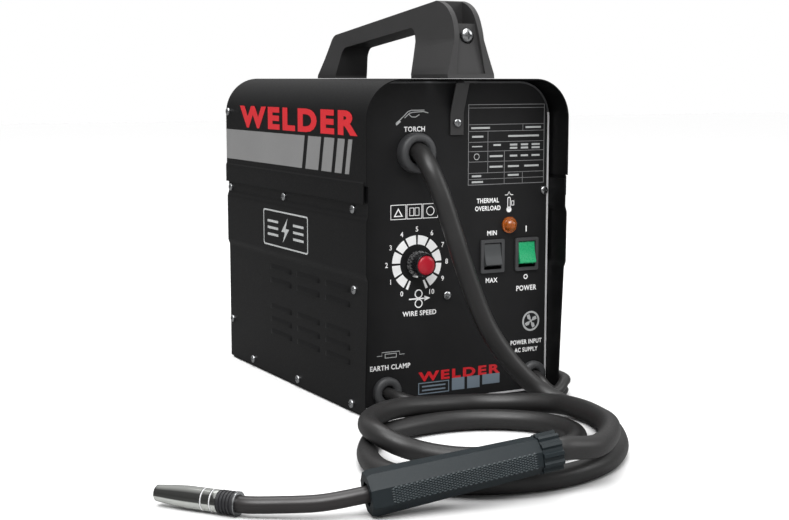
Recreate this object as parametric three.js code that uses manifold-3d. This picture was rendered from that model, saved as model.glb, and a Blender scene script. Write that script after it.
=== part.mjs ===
// Portable MIG welding machine. Millimetres, +Z up, the control panel faces -Y, the floor is z = 0.
// The origin is the bottom centre of the case.

import * as THREE from 'three';
import { mergeVertices } from 'three/addons/utils/BufferGeometryUtils.js';
import Module from 'manifold-3d';

const wasm = await Module();
wasm.setup();

// ---- driving dimensions ----

const GAP = 0.3;                        // clearance between pieces that touch or pass through each other

const CASE_HALF = 105;                  // half the width of the case
const CASE_HEIGHT = 297;
const CASE_FRONT = -159;
const CASE_BACK = 166.5;
const CORNER_R = 36;                    // bend radius of the two top corners
const SHEET = 1.2;
const COVER_BOTTOM = 189.6;             // lower edge of the upper covers
const SIDE_FACE = 103;                  // outer face of the lower side panels
const PAD_FACE = 104.8;                 // outer face of their raised pad
const SIDE_INNER = SIDE_FACE - SHEET;

const PANEL_FACE = -132.4;              // face of the control panel
const BACK_FACE = 154.5;                // face of the rear panel
const TRAY_DEPTH = 14;                  // depth of the front and rear panels with their flange
const SHELF_Z = 151.5;
const DIVIDER_X = -22.6;                // left face of the divider
const INNER_FRONT = -116;               // room between the flanges of the front and rear panels
const INNER_BACK = 138.5;

const HINGE_X = -30;                    // concealed hinge of the wire cover
const HINGE_Z = 294.5;
const HINGE_R = 2.2;
const HINGE_BORE = 1.55;
const HINGE_HALF = 100;

const LOUVRE_LENGTH = 52;
const LOUVRE_PITCH = 64;
const LOUVRE_FIRST = -123;
const LOUVRE_ROWS = [109.7, 96.3, 70, 57, 44.3];

const BUSH = [-43, 231.6];              // x and z of the torch bush, and of the welding wire behind it
const CABLE_R = 8.5;
const DIAL = [-40.3, 131.9];
const LAMP = [57.5, 162];
const RANGE_SWITCH = [39.3, 133.7];
const POWER_SWITCH = [77, 133.7];
const EARTH_GROMMET = [-71.6, 16.5];
const MAINS_GROMMET = [85.6, 17.6];
const LEAD_R = { earth: 5, mains: 4.1 };
const PANEL_SCREWS = { left: [-8.8, 100.3], right: [96.2, 192.9] };
const STRAP_SCREW_Z = 257.6;
const COVER_SCREW = [159.5, 262.7];     // y and z of the screw in the wire cover

const TORCH_REAR = [-105.9, -426, 33.8]; // centre of the torch handle's rear end
const TORCH_FRONT = [-229, -401, 15.6];
const NOZZLE_BACK = [-314, -347, 8.5];
const NOZZLE_TIP = [-345.5, -307.5, 8.5];

const CLAMP = [150, 20];                // x and y of the earth clamp's pivot
const PLUG = [150, 132];

// ---- outlines: lists of [a, b] points in a plane ----

function arc(a, b, r, from, to, steps) {
  const points = [];
  for (let i = 0; i <= steps; i += 1) {
    const angle = THREE.MathUtils.degToRad(from + ((to - from) * i) / steps);
    points.push([a + r * Math.cos(angle), b + r * Math.sin(angle)]);
  }
  return points;
}

function circle(a, b, r, sides = 20) {
  return arc(a, b, r, 0, 360, sides).slice(0, -1);
}

function box(a0, a1, b0, b1) {
  return [[a0, b0], [a1, b0], [a1, b1], [a0, b1]];
}

function roundBox(a0, a1, b0, b1, top, bottom = top, steps = 5) {
  return [
    ...arc(a0 + bottom, b0 + bottom, bottom, 180, 270, steps),
    ...arc(a1 - bottom, b0 + bottom, bottom, 270, 360, steps),
    ...arc(a1 - top, b1 - top, top, 0, 90, steps),
    ...arc(a0 + top, b1 - top, top, 90, 180, steps),
  ];
}

const mirrored = (points) => points.map(([a, b]) => [-a, b]);

// The outline of a sheet that follows a path, with its thickness on the right of the direction of travel.
function sheetAlong(path, thickness) {
  const normals = path.slice(1).map(([a, b], i) => {
    const [da, db] = [a - path[i][0], b - path[i][1]];
    const length = Math.hypot(da, db);
    return [db / length, -da / length];
  });
  const inner = path.map(([a, b], i) => {
    const before = normals[Math.max(i - 1, 0)];
    const after = normals[Math.min(i, normals.length - 1)];
    const spread = 1 + before[0] * after[0] + before[1] * after[1];
    const shift = thickness / spread;
    return [a + (before[0] + after[0]) * shift, b + (before[1] + after[1]) * shift];
  });
  return [...path, ...inner.reverse()];
}

// ---- solids ----

const toVectors = (points) => points.map(([a, b]) => new THREE.Vector2(a, b));

const AXES = {
  x: new THREE.Matrix4().makeBasis(
    new THREE.Vector3(0, 1, 0), new THREE.Vector3(0, 0, 1), new THREE.Vector3(1, 0, 0)),
  y: new THREE.Matrix4().makeBasis(
    new THREE.Vector3(1, 0, 0), new THREE.Vector3(0, 0, 1), new THREE.Vector3(0, -1, 0)),
  z: new THREE.Matrix4(),
};

// A prism along an axis. Its outline is in (y, z) for x, (x, z) for y and (x, y) for z.
function slab(axis, outline, low, high, holes = []) {
  const shape = new THREE.Shape(toVectors(outline));
  shape.holes = holes.map((hole) => new THREE.Path(toVectors(hole)));
  const geometry = new THREE.ExtrudeGeometry(shape, { depth: high - low, bevelEnabled: false });
  geometry.translate(0, 0, axis === 'y' ? -high : low);
  return geometry.applyMatrix4(AXES[axis]);
}

function block(x0, x1, y0, y1, z0, z1) {
  return slab('z', box(x0, x1, y0, y1), z0, z1);
}

function rod(axis, [a, b], r, low, high, sides = 20) {
  return slab(axis, circle(a, b, r, sides), low, high);
}

function outward(geometry) {
  const p = geometry.attributes.position;
  const index = geometry.index.array;
  const corners = [new THREE.Vector3(), new THREE.Vector3(), new THREE.Vector3()];
  let volume = 0;
  for (let i = 0; i < index.length; i += 3) {
    corners.forEach((corner, k) => corner.fromBufferAttribute(p, index[i + k]));
    volume += corners[0].dot(corners[1].clone().cross(corners[2]));
  }
  if (volume < 0) {
    for (let i = 0; i < index.length; i += 3) {
      [index[i], index[i + 1]] = [index[i + 1], index[i]];
    }
  }
  return geometry;
}

// A solid of revolution about a line along an axis. The profile is [radius, distance along the axis].
function turned(axis, [a, b], profile, sides = 20, phase = 0) {
  const geometry = outward(new THREE.LatheGeometry(toVectors(profile), sides, phase));
  if (axis === 'x') {
    return geometry.rotateZ(-Math.PI / 2).translate(0, a, b);
  }
  if (axis === 'z') {
    return geometry.rotateX(Math.PI / 2).translate(a, b, 0);
  }
  return geometry.translate(a, 0, b);
}

function tube(points, r, sides, steps) {
  const path = new THREE.CatmullRomCurve3(points.map((p) => new THREE.Vector3(...p)));
  const section = new THREE.Shape(toVectors(circle(0, 0, r, sides)));
  return new THREE.ExtrudeGeometry(section, { extrudePath: path, steps, bevelEnabled: false });
}

function toManifold(geometry) {
  const plain = geometry.clone();
  plain.deleteAttribute('normal');
  plain.deleteAttribute('uv');
  const welded = mergeVertices(plain, 1e-4);
  const triangles = [];
  for (let i = 0; i < welded.index.count; i += 3) {
    const [p, q, r] = welded.index.array.slice(i, i + 3);
    if (p !== q && q !== r && r !== p) {
      triangles.push(p, q, r);
    }
  }
  return new wasm.Manifold(new wasm.Mesh({
    numProp: 3,
    vertProperties: new Float32Array(welded.attributes.position.array),
    triVerts: new Uint32Array(triangles),
  }));
}

function toGeometry(solid) {
  const mesh = solid.getMesh();
  const geometry = new THREE.BufferGeometry();
  geometry.setAttribute('position', new THREE.BufferAttribute(new Float32Array(mesh.vertProperties), 3));
  geometry.setIndex(new THREE.BufferAttribute(new Uint32Array(mesh.triVerts), 1));
  return geometry;
}

function fuse(...bodies) {
  return toGeometry(bodies.map(toManifold).reduce((sum, body) => sum.add(body)));
}

function cut(body, ...tools) {
  return toGeometry(tools.map(toManifold).reduce((rest, tool) => rest.subtract(tool), toManifold(body)));
}

function common(body, other) {
  return toGeometry(toManifold(body).intersect(toManifold(other)));
}

// Turns a solid built along +Z from the origin so that it starts at one point and runs towards another.
function aimed(geometry, from, to) {
  const direction = new THREE.Vector3(...to).sub(new THREE.Vector3(...from)).normalize();
  const side = new THREE.Vector3().crossVectors(new THREE.Vector3(0, 0, 1), direction).normalize();
  const up = new THREE.Vector3().crossVectors(direction, side);
  const basis = new THREE.Matrix4().makeBasis(side, up, direction);
  return geometry.applyMatrix4(basis.setPosition(...from));
}

// ---- case ----

// Outer line of a folded cover: from its edge on the top, round the corner, down to the joggle.
function coverPath(edge) {
  return [
    [edge, CASE_HEIGHT],
    ...arc(CASE_HALF - CORNER_R, CASE_HEIGHT - CORNER_R, CORNER_R, 90, 0, 10),
    [CASE_HALF, 209],
    [CASE_HALF + 1, 207],
    [CASE_HALF + 1, COVER_BOTTOM],
  ];
}

// Hinge knuckles: five in a row along y; the even ones are fixed, the odd ones ride with the wire cover.
function knuckles(indices, leaf) {
  const pitch = (2 * HINGE_HALF) / 5;
  return indices.map((i) => {
    const low = -HINGE_HALF + i * pitch + 0.2;
    const high = low + pitch - 0.4;
    const barrel = rod('y', [HINGE_X, HINGE_Z], HINGE_R, low, high, 16);
    const arms = leaf.map((outline) => slab('y', outline, low, high));
    return fuse(barrel, ...arms);
  });
}

const hingeBore = () => rod('y', [HINGE_X, HINGE_Z], HINGE_BORE, -HINGE_HALF - 5, HINGE_HALF + 5, 16);

function topCover() {
  const sheet = slab('y', sheetAlong(coverPath(HINGE_X + 3.2), SHEET), CASE_FRONT, CASE_BACK);
  const leaf = [
    box(HINGE_X, HINGE_X + 5.5, HINGE_Z - 2.2, HINGE_Z - 1.2),
    box(HINGE_X + 4.3, HINGE_X + 5.5, HINGE_Z - 2.2, CASE_HEIGHT - 0.6),
  ];
  return cut(fuse(sheet, ...knuckles([0, 2, 4], leaf)), hingeBore());
}

function wireCover() {
  const outline = mirrored(sheetAlong(coverPath(-HINGE_X + 2.6), SHEET));
  const sheet = slab('y', outline, CASE_FRONT, CASE_BACK);
  const leaf = [box(HINGE_X - 4, HINGE_X, HINGE_Z + 1.2, HINGE_Z + 2.1)];
  const screwHole = rod('x', COVER_SCREW, 2.6, -CASE_HALF - 2, -CASE_HALF + 6, 16);
  return cut(fuse(sheet, ...knuckles([1, 3], leaf)), hingeBore(), screwHole);
}

function coverScrew() {
  const profile = [[0, -2.4], [2.4, -2.2], [4, -0.9], [4, 0], [2, 0], [2, 5], [0, 5]];
  return turned('x', COVER_SCREW, profile, 12).translate(-CASE_HALF - 0.2, 0, 0);
}

function sidePanel(side) {
  const path = [
    [-SIDE_FACE, 2],
    [-SIDE_FACE, 122.8],
    [-PAD_FACE, 126.8],
    [-PAD_FACE, 174.8],
    [-SIDE_FACE, 178.8],
    [-SIDE_FACE, 205],
  ];
  const sheet = slab('y', sheetAlong(path, SHEET), CASE_FRONT, CASE_BACK);
  const lean = [[-151, 0], [-158, 125], [-158.8, 210], [CASE_BACK - 0.2, 210], [CASE_BACK - 0.2, 0]];
  const trimmed = common(sheet, slab('x', lean, -CASE_HALF - 5, -CASE_HALF + 10));
  const slots = [];
  const hoods = [];
  for (const z of LOUVRE_ROWS) {
    for (let i = 0; i < 3; i += 1) {
      const y = LOUVRE_FIRST + i * LOUVRE_PITCH;
      slots.push(slab('y', box(-SIDE_FACE - 1, -SIDE_INNER + 1, z - 2, z + 1.5), y, y + LOUVRE_LENGTH));
      const hood = [
        [-SIDE_FACE + 0.4, z + 4.5],
        [-SIDE_FACE - 1.9, z + 0.6],
        [-SIDE_FACE - 1.9, z - 1.2],
        [-SIDE_FACE - 1, z - 1.2],
        [-SIDE_FACE - 1, z + 0.2],
        [-SIDE_FACE + 0.4, z + 2.4],
      ];
      hoods.push(slab('y', hood, y, y + LOUVRE_LENGTH));
    }
  }
  const panel = fuse(cut(trimmed, ...slots), ...hoods);
  return side === 'left' ? panel : cut(outward(panel.clone().scale(-1, 1, 1)));
}

function basePan() {
  const floor = block(-101.2, 101.2, -150, CASE_BACK - 2, 0, 1.5);
  const flanges = [-1, 1].map((s) => {
    const [low, high] = s < 0 ? [-101.2, -100] : [100, 101.2];
    return block(low, high, INNER_FRONT, INNER_BACK, 1, 16);
  });
  return fuse(floor, ...flanges);
}

// A folded end panel: a face plate with a flange all round, the face towards -y at y = face.
function tray(face) {
  const outline = (inset) => roundBox(
    -101 + inset, 101 - inset, 2.2 + inset, 294.7 - inset, 33 - inset, 8 - inset);
  const whole = slab('y', outline(0), face, face + TRAY_DEPTH);
  return cut(whole, slab('y', outline(1.5), face + 1.5, face + TRAY_DEPTH + 1));
}

function frontPanel() {
  const through = (outline) => slab('y', outline, PANEL_FACE - 5, PANEL_FACE + 5);
  const round = (centre, r) => through(circle(...centre, r));
  const opening = ([x, z]) => through(box(x - 11.2, x + 11.2, z - 13.6, z + 13.6));
  return cut(
    tray(PANEL_FACE),
    round(BUSH, 15),
    round(DIAL, 5),
    round(LAMP, 6),
    opening(RANGE_SWITCH),
    opening(POWER_SWITCH),
    round(EARTH_GROMMET, 10.5),
    round(MAINS_GROMMET, 9.5),
    round(PANEL_SCREWS.left, 2.3),
    round(PANEL_SCREWS.right, 2.3),
    round([0, STRAP_SCREW_Z], 2.3),
  );
}

function rearPanel() {
  const turnedTray = tray(-BACK_FACE).rotateZ(Math.PI);
  const slots = [];
  for (let i = -4; i <= 4; i += 1) {
    const z = 56 + i * 8;
    const half = Math.sqrt(40 * 40 - (i * 8) ** 2) - 3;
    for (const [low, high] of [[-half, -2], [2, half]]) {
      slots.push(slab('y', roundBox(-22 + low, -22 + high, z - 1.8, z + 1.8, 1.7, 1.7, 2), 140, 150));
    }
  }
  return cut(turnedTray, ...slots);
}

function shelfPlate() {
  const plate = block(-100.4, 100.4, INNER_FRONT, INNER_BACK, SHELF_Z, SHELF_Z + SHEET);
  const lips = [-1, 1].map((s) => {
    const [low, high] = s < 0 ? [-100.4, -99.2] : [99.2, 100.4];
    return block(low, high, INNER_FRONT, INNER_BACK, SHELF_Z - 12, SHELF_Z + 0.5);
  });
  const wiring = slab('z', roundBox(20, 70, -20, 10, 8, 8, 4), SHELF_Z - 2, SHELF_Z + 4);
  return cut(fuse(plate, ...lips), wiring);
}

function dividerPlate() {
  const foot = SHELF_Z + SHEET + GAP;
  const wall = block(DIVIDER_X, DIVIDER_X + SHEET, INNER_FRONT, INNER_BACK, foot, 289);
  const flange = block(DIVIDER_X, DIVIDER_X + 12, INNER_FRONT, INNER_BACK, foot, foot + SHEET);
  const top = block(DIVIDER_X, DIVIDER_X + 12, INNER_FRONT, INNER_BACK, 289 - SHEET, 289);
  const shaft = rod('x', [FEED_Y, DRIVE_Z], 5, DIVIDER_X - 3, DIVIDER_X + 3);
  return cut(fuse(wall, flange, top), shaft);
}

function panelScrew([x, z], face = PANEL_FACE - 0.2) {
  const profile = [[0, -2.6], [2.2, -2.3], [3.8, -1], [3.8, 0], [1.9, 0], [1.9, 6], [0, 6]];
  return turned('y', [x, z], profile, 12).translate(0, face, 0);
}

// ---- carry handle ----

function handle() {
  const bottom = CASE_HEIGHT + GAP;
  const outer = [
    [-158.5, bottom],
    [-158, 300],
    [-155.4, 330],
    [-153.8, 338],
    [-150.3, 346.3],
    [-144.5, 353.7],
    [-137.3, 359.6],
    [-129.3, 363.8],
    [-121, 366.6],
    [60, 346.5],
    [88, 341.5],
    [96, 338],
    [123.9, 299.5],
    [123.9, bottom],
  ];
  const opening = [
    [-91.5, 290],
    [-91.5, 299.5],
    [-82.5, 334],
    [-79, 340.5],
    [-72, 343.7],
    [60, 328.8],
    [68, 327],
    [72.5, 323],
    [80.7, 299.5],
    [80.7, 290],
  ];
  const frontWidth = [[24, bottom], [24, 301], [19.5, 316], [15.2, 331], [14.4, 345], [14.4, 370]];
  const rearWidth = [[18, bottom], [18, 301], [15.6, 318], [14.4, 333], [14.4, 370]];
  const widthMask = (half, low, high) => slab('y', [...half, ...mirrored(half).reverse()], low, high);
  const mask = fuse(widthMask(frontWidth, -165, 0), widthMask(rearWidth, -0.01, 130));
  const side = cut(slab('x', outer, -30, 30), slab('x', opening, -31, 31));
  const channel = [
    [-170, 302],
    [-155.6, 302],
    [-148, 345.5],
    [-126, 345.5],
    [-126, 375],
    [-170, 375],
  ];
  const channelWidth = [[15, 300], [10.5, 333], [9.5, 346], [9.5, 380]];
  const recess = common(slab('x', channel, -20, 20), widthMask(channelWidth, -175, -120));
  const boltSeat = rod('y', [0, 335], 7.4, -160, -149.1, 16);
  const boltHole = rod('y', [0, 335], 3.1, -160, -125, 16);
  return cut(common(side, mask), recess, boltSeat, boltHole);
}

function handleBolt() {
  const profile = [[0, -4.4], [3.4, -4], [6.4, -1.6], [6.4, 0], [2.7, 0], [2.7, 12.5], [0, 12.5]];
  return turned('y', [0, 335], profile, 16).translate(0, -149.4, 0);
}

function handleStrap() {
  const path = [[-157, 295.2], [-143.4, 295.2], [-132.8, 267], [-132.8, 246.5]];
  const strap = slab('x', sheetAlong(path, 1.6), -6.9, 6.9);
  return cut(strap, rod('y', [0, STRAP_SCREW_Z], 2.3, -140, -120, 16));
}

// ---- controls ----

function torchBush() {
  const profile = [
    [9.6, -7], [11.5, -10.5], [16, -10.5], [17.8, -9], [18, -GAP], [14.6, -GAP], [14.6, 9], [9.6, 9], [9.6, -7],
  ];
  return turned('y', BUSH, profile, 24).translate(0, PANEL_FACE, 0);
}

function grommet(centre, r, neck, bore) {
  const profile = [
    [bore, -4.5], [bore + 2, -6], [r - 1.5, -6], [r, -4.5], [r, -GAP], [neck, -GAP], [neck, 6], [bore, 6], [bore, -4.5],
  ];
  return turned('y', centre, profile).translate(0, PANEL_FACE, 0);
}

function lamp() {
  const dome = arc(0, -2.5, 6.6, 270, 360, 5).map(([r, h]) => [Math.max(r, 0), h * 0.9]);
  const profile = [...dome, [7.6, -2.2], [7.6, -GAP], [5.6, -GAP], [5.6, 18], [0, 18]];
  profile[0][0] = 0;
  return turned('y', LAMP, profile, 16).translate(0, PANEL_FACE, 0);
}

function potentiometer() {
  const profile = [
    [0, -9], [2.9, -9], [2.9, -3], [4.6, -3], [4.6, 2], [12, 2], [12, 14], [0, 14],
  ];
  return turned('y', DIAL, profile).translate(0, PANEL_FACE, 0);
}

const KNOB_BACK = PANEL_FACE - 3.6;
const KNOB_LENGTH = 14;

function speedKnob() {
  const profile = [
    [0, -KNOB_LENGTH + 2], [8.9, -KNOB_LENGTH + 2], [8.9, -KNOB_LENGTH], [9.9, -KNOB_LENGTH],
    [10.6, -KNOB_LENGTH + 1], [12.2, -2], [12.6, 0], [3.3, 0], [3.3, -7], [0, -7],
  ];
  const body = turned('y', DIAL, profile, 24);
  const grooves = [];
  for (let i = 0; i < 12; i += 1) {
    const angle = THREE.MathUtils.degToRad(i * 30);
    const [x, z] = [DIAL[0] + 12.6 * Math.sin(angle), DIAL[1] + 12.6 * Math.cos(angle)];
    grooves.push(rod('y', [x, z], 1.1, -KNOB_LENGTH - 1, -3, 6));
  }
  return cut(body, ...grooves).translate(0, KNOB_BACK, 0);
}

function knobCap() {
  const profile = [[0, -3.6], [6, -3.5], [8.2, -2.7], [8.5, -1.6], [8.5, 0], [0, 0]];
  return turned('y', DIAL, profile, 20).translate(0, KNOB_BACK - KNOB_LENGTH + 2 - GAP, 0);
}

const ROCKER_PIVOT = PANEL_FACE + 5.4;

function switchBody([x, z]) {
  const bezel = slab('y', roundBox(x - 12.75, x + 12.75, z - 15.5, z + 15.5, 1.5, 1.5, 3),
    PANEL_FACE - 2.1, PANEL_FACE - GAP);
  const rear = slab('y', box(x - 10.9, x + 10.9, z - 13.3, z + 13.3), PANEL_FACE - 1, PANEL_FACE + 22);
  const pocket = slab('y', box(x - 9.4, x + 9.4, z - 12.3, z + 12.3), PANEL_FACE - 4, PANEL_FACE + 11);
  const tabs = [-6, 0, 6].map((dz) => block(x - 3, x + 3, PANEL_FACE + 21, PANEL_FACE + 29, z + dz - 0.4, z + dz + 0.4));
  return fuse(cut(fuse(bezel, rear), pocket), ...tabs);
}

const ROCKER_TILT = -12;                // top pressed in

// The outline is drawn level and then tilted about the pivot.
function rocker([x, z]) {
  const level = [
    [-7.7, 0], [-8.6, 9.9], [-6, 10.6], [1.5, 9.6], [3.5, 4], [3.5, -4], [1.5, -9.6], [-6, -10.6], [-8.6, -9.9],
  ];
  const angle = THREE.MathUtils.degToRad(ROCKER_TILT);
  const outline = level.map(([y, h]) => [
    ROCKER_PIVOT + y * Math.cos(angle) - h * Math.sin(angle),
    z + y * Math.sin(angle) + h * Math.cos(angle),
  ]);
  return slab('x', outline, x - 9, x + 9);
}

// ---- power unit ----

const CORE = { x: [-70, 26], y: [10, 70], z: [1.8, 86] };
const LIMB_X = -22;
const LIMB_Y = 40;
const WINDOW_Z = [20, 70];

function transformerCore() {
  const windows = [-1, 1].map((s) => {
    const middle = LIMB_X + s * 24;
    return block(middle - 8, middle + 8, 0, 90, ...WINDOW_Z);
  });
  const core = slab('y', box(...CORE.x, 6, CORE.z[1]), ...CORE.y);
  const feet = [CORE.y[0] - 12, CORE.y[1] - 2].map((y) => block(...CORE.x, y, y + 14, CORE.z[0], 8));
  return cut(fuse(core, ...feet), ...windows);
}

function winding(inner, thickness) {
  const ring = (grow) => roundBox(
    LIMB_X - 16 - grow, LIMB_X + 16 + grow, LIMB_Y - 30 - grow, LIMB_Y + 30 + grow,
    Math.max(grow * 0.8, 0.3), Math.max(grow * 0.8, 0.3), 3);
  return slab('z', ring(inner + thickness), WINDOW_Z[0] + 1.5, WINDOW_Z[1] - 1.5, [ring(inner)]);
}

function rectifier() {
  const fins = [];
  for (let i = 0; i < 7; i += 1) {
    fins.push(block(48 + i * 6, 50 + i * 6, -62, -14, 1.8, 92));
  }
  const spine = block(48, 86, -41, -35, 1.8, 92);
  const diodes = [30, 62].map((z) => rod('y', [57, z], 2.9, -36, -12, 12));
  return fuse(spine, ...fins, ...diodes);
}

const FAN_X = -22;
const FAN_Z = 56;

function fanHousing() {
  const frame = slab('y', roundBox(FAN_X - 46, FAN_X + 46, FAN_Z - 46, FAN_Z + 46, 5, 5, 3),
    104, 129, [circle(FAN_X, FAN_Z, 42, 28)]);
  const spokes = [0, 1, 2, 3].map((i) => {
    const spoke = slab('y', box(-2, 2, 8, 43), 126, 129);
    return spoke.rotateY((i * Math.PI) / 2 + Math.PI / 4).translate(FAN_X, 0, FAN_Z);
  });
  const motor = rod('y', [FAN_X, FAN_Z], 13, 121, 129);
  const shaft = rod('y', [FAN_X, FAN_Z], 2.4, 106, 122, 16);
  return fuse(frame, ...spokes, motor, shaft);
}

function fanRotor() {
  const hub = turned('y', [FAN_X, FAN_Z], [[2.9, 107], [15, 107], [17, 109], [17, 120], [2.9, 120], [2.9, 107]]);
  const blades = [];
  for (let i = 0; i < 7; i += 1) {
    const blade = slab('z', box(-1, 1, -8.5, 8.5), 14, 39.5);
    blade.rotateZ(THREE.MathUtils.degToRad(42));
    blades.push(blade.rotateY((i * 2 * Math.PI) / 7).translate(FAN_X, 113.5, FAN_Z));
  }
  return fuse(hub, ...blades);
}

function controlBoard() {
  const face = DIVIDER_X + SHEET + 4;
  const board = block(face, face + 1.6, -30, 84, 168, 250);
  const relay = block(face + 1, face + 20, 40, 68, 178, 200);
  const fuseBlock = block(face + 1, face + 14, 36, 74, 222, 236);
  const sink = block(face + 1, face + 18, -8, 4, 206, 240);
  const capacitors = [190, 212].map((z) => rod('x', [-18, z], 7, face + 1, face + 24, 16));
  const feet = [[-24, 174], [78, 174], [-24, 244], [78, 244]].map((c) => rod('x', c, 2, face - 3.7, face + 1, 10));
  return fuse(board, relay, fuseBlock, sink, ...capacitors, ...feet);
}

// ---- wire feeder ----

const WIRE_R = 0.4;
const FEED_Y = -70;
const DRIVE_R = 15;
const PRESS_R = 11;
const DRIVE_Z = BUSH[1] - WIRE_R - DRIVE_R;
const PRESS_Z = BUSH[1] + WIRE_R + PRESS_R;
const ROLLER_X = [-48.8, -37.2];
const ARM_PIVOT = [-92, 248];
const KNOB_Y = -47;
const KNOB_X = -52;

function feedMotor() {
  const face = DIVIDER_X + SHEET + GAP;
  const flange = slab('x', roundBox(FEED_Y - 23, FEED_Y + 23, DRIVE_Z - 23, DRIVE_Z + 23, 4, 4, 3), face, face + 3);
  const can = turned('x', [FEED_Y, DRIVE_Z], [
    [0, face + 2], [20, face + 2], [20, face + 46], [17, face + 49], [8, face + 49], [8, face + 53], [0, face + 53],
  ]);
  return cut(fuse(flange, can), rod('x', [FEED_Y, DRIVE_Z], 3.4, face - 1, face + 16, 20));
}

function feedHousing() {
  const face = DIVIDER_X - GAP;
  const plate = slab('x', roundBox(-102, -40, 194, 262, 6, 6, 4), face - 9, face);
  const pivot = rod('x', ARM_PIVOT, 3, -57.5, face - 8, 20);
  const outlet = block(-48, face - 8, -99, -87, BUSH[1] - 5, BUSH[1] + 3.5);
  const inlet = block(-48, face - 8, -52, -42, BUSH[1] - 5, BUSH[1] + 3.5);
  const shaft = rod('x', [FEED_Y, DRIVE_Z], 4, face - 12, face + 2, 20);
  const outletBore = rod('y', BUSH, 2.6, -101, -86, 14);
  const inletBore = rod('y', BUSH, 1.3, -53, -41, 10);
  return cut(fuse(plate, pivot, outlet, inlet), shaft, outletBore, inletBore);
}

function wireGuide() {
  return slab('y', circle(...BUSH, 2.2, 14), -119.5, -87.5, [circle(...BUSH, 0.9, 8)]);
}

function driveRoller() {
  const groove = (x) => [[DRIVE_R, x - 0.9], [DRIVE_R - 0.9, x], [DRIVE_R, x + 0.9]];
  const profile = [
    [0, ROLLER_X[0] - 4], [3, ROLLER_X[0] - 4], [3, ROLLER_X[0]], [DRIVE_R, ROLLER_X[0]],
    ...groove(-46.2), ...groove(-39.8), [DRIVE_R, ROLLER_X[1]], [3, ROLLER_X[1]], [3, -8], [0, -8],
  ];
  return turned('x', [FEED_Y, DRIVE_Z], profile, 24);
}

function pressureRoller() {
  return slab('x', circle(FEED_Y, PRESS_Z, PRESS_R, 24), ...ROLLER_X, [circle(FEED_Y, PRESS_Z, 3, 20)]);
}

function pressureArm() {
  const outline = [
    [-97, 241], [-90, 239.5], [-46, 239.5], [-40, 243], [-40, 250], [-44, 253], [-86, 253], [-90, 255.5], [-97, 254],
    [-99.5, 248],
  ];
  const arm = slab('x', outline, -54.5, -49.6, [circle(...ARM_PIVOT, 3.4, 20)]);
  const axle = rod('x', [FEED_Y, PRESS_Z], 2.6, -50, ROLLER_X[1] + 0.6, 16);
  return cut(fuse(arm, axle), rod('z', [KNOB_X, KNOB_Y], 1.9, 230, 260, 14));
}

function tensionKnob() {
  const top = 253 + GAP;
  const profile = [
    [0, 236], [1.5, 236], [1.5, top], [7, top], [8, top + 1.5], [8, top + 8], [6.6, top + 10], [0, top + 10],
  ];
  return turned('z', [KNOB_X, KNOB_Y], profile, 20);
}

const SPOOL = [72, 226];

function spoolAxle() {
  const face = DIVIDER_X - GAP;
  const profile = [
    [0, face], [20, face], [20, face - 3], [10.5, face - 4], [8, face - 6], [8, -79], [0, -79],
  ];
  return turned('x', SPOOL, profile, 16);
}

function wireSpool() {
  const flange = (low, high) => {
    const windows = [0, 1, 2].map((i) => {
      const angle = THREE.MathUtils.degToRad(90 + i * 120);
      return circle(SPOOL[0] + 34 * Math.cos(angle), SPOOL[1] + 34 * Math.sin(angle), 9, 12);
    });
    return slab('x', circle(...SPOOL, 50, 28), low, high, [circle(...SPOOL, 8.6, 16), ...windows]);
  };
  const hub = slab('x', circle(...SPOOL, 20, 20), -71, -31, [circle(...SPOOL, 8.6, 16)]);
  return fuse(flange(-32.5, -30), hub, flange(-72, -69.5));
}

function wireCoil() {
  return slab('x', circle(...SPOOL, 42, 28), -69.1, -32.9, [circle(...SPOOL, 20.6, 20)]);
}

function spoolNut() {
  const profile = [
    [0, -79.4], [8.4, -79.4], [8.4, -72.4], [13, -72.4], [14, -74], [14, -81], [12.5, -83], [0, -83],
  ];
  return turned('x', SPOOL, profile, 16);
}

// ---- torch and its cable ----

// Centre line of the cable: out of the bush, down to the floor, once round on the floor, then over itself.
const CABLE_PATH = [
  [BUSH[0], PANEL_FACE + 12, BUSH[1]],
  [BUSH[0], PANEL_FACE - 11, BUSH[1]],
  [-44, -161, 220],
  [-38, -170, 198],
  [-29, -176, 166],
  [-16, -182, 122],
  [1, -189, 77],
  [22, -198, 44],
  [43, -209, 21.5],
  [58, -231, 10.2],
  [61.5, -262, 8.8],
  [51, -298, 8.8],
  [35, -331, 8.8],
  [12, -364, 8.8],
  [-20, -391, 8.8],
  [-60, -406, 8.8],
  [-102, -406, 8.8],
  [-140, -392, 8.8],
  [-167, -369, 8.8],
  [-180, -339, 8.8],
  [-177, -308, 8.8],
  [-163, -275, 8.8],
  [-136, -241, 8.8],
  [-96, -227, 8.8],
  [-52, -227, 8.8],
  [-14, -244, 8.8],
  [9, -272, 8.8],
  [11, -306, 8.8],
  [-8, -334, 8.8],
  [-42, -347, 8.8],
  [-82, -343, 8.8],
  [-113, -331, 9.5],
  [-137, -318, 13.5],
  [-154, -308, 19.5],
  [-163, -292, 25.5],
  [-158, -266, 26.4],
  [-138, -241, 26.3],
  [-105, -221, 24.4],
  [-67, -212, 20.3],
  [-28, -213, 17.8],
  [2, -230, 18.6],
  [23, -262, 22.2],
  [21, -301, 26.2],
  [14, -335, 27.7],
  [0, -368, 30.2],
  [-24, -399, 30.6],
  [-54, -423, 32.4],
];

function along(from, to, distance) {
  const start = new THREE.Vector3(...from);
  const direction = new THREE.Vector3(...to).sub(start).normalize();
  return start.addScaledVector(direction, distance).toArray();
}

const NUT_LENGTH = 15.5;
const HANDLE_LENGTH = 126;

function torchCable() {
  const inHandle = [-20, -12, 2, 16].map((s) => along(TORCH_REAR, TORCH_FRONT, s));
  return tube([...CABLE_PATH, ...inHandle], CABLE_R, 10, 125);
}

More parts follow.
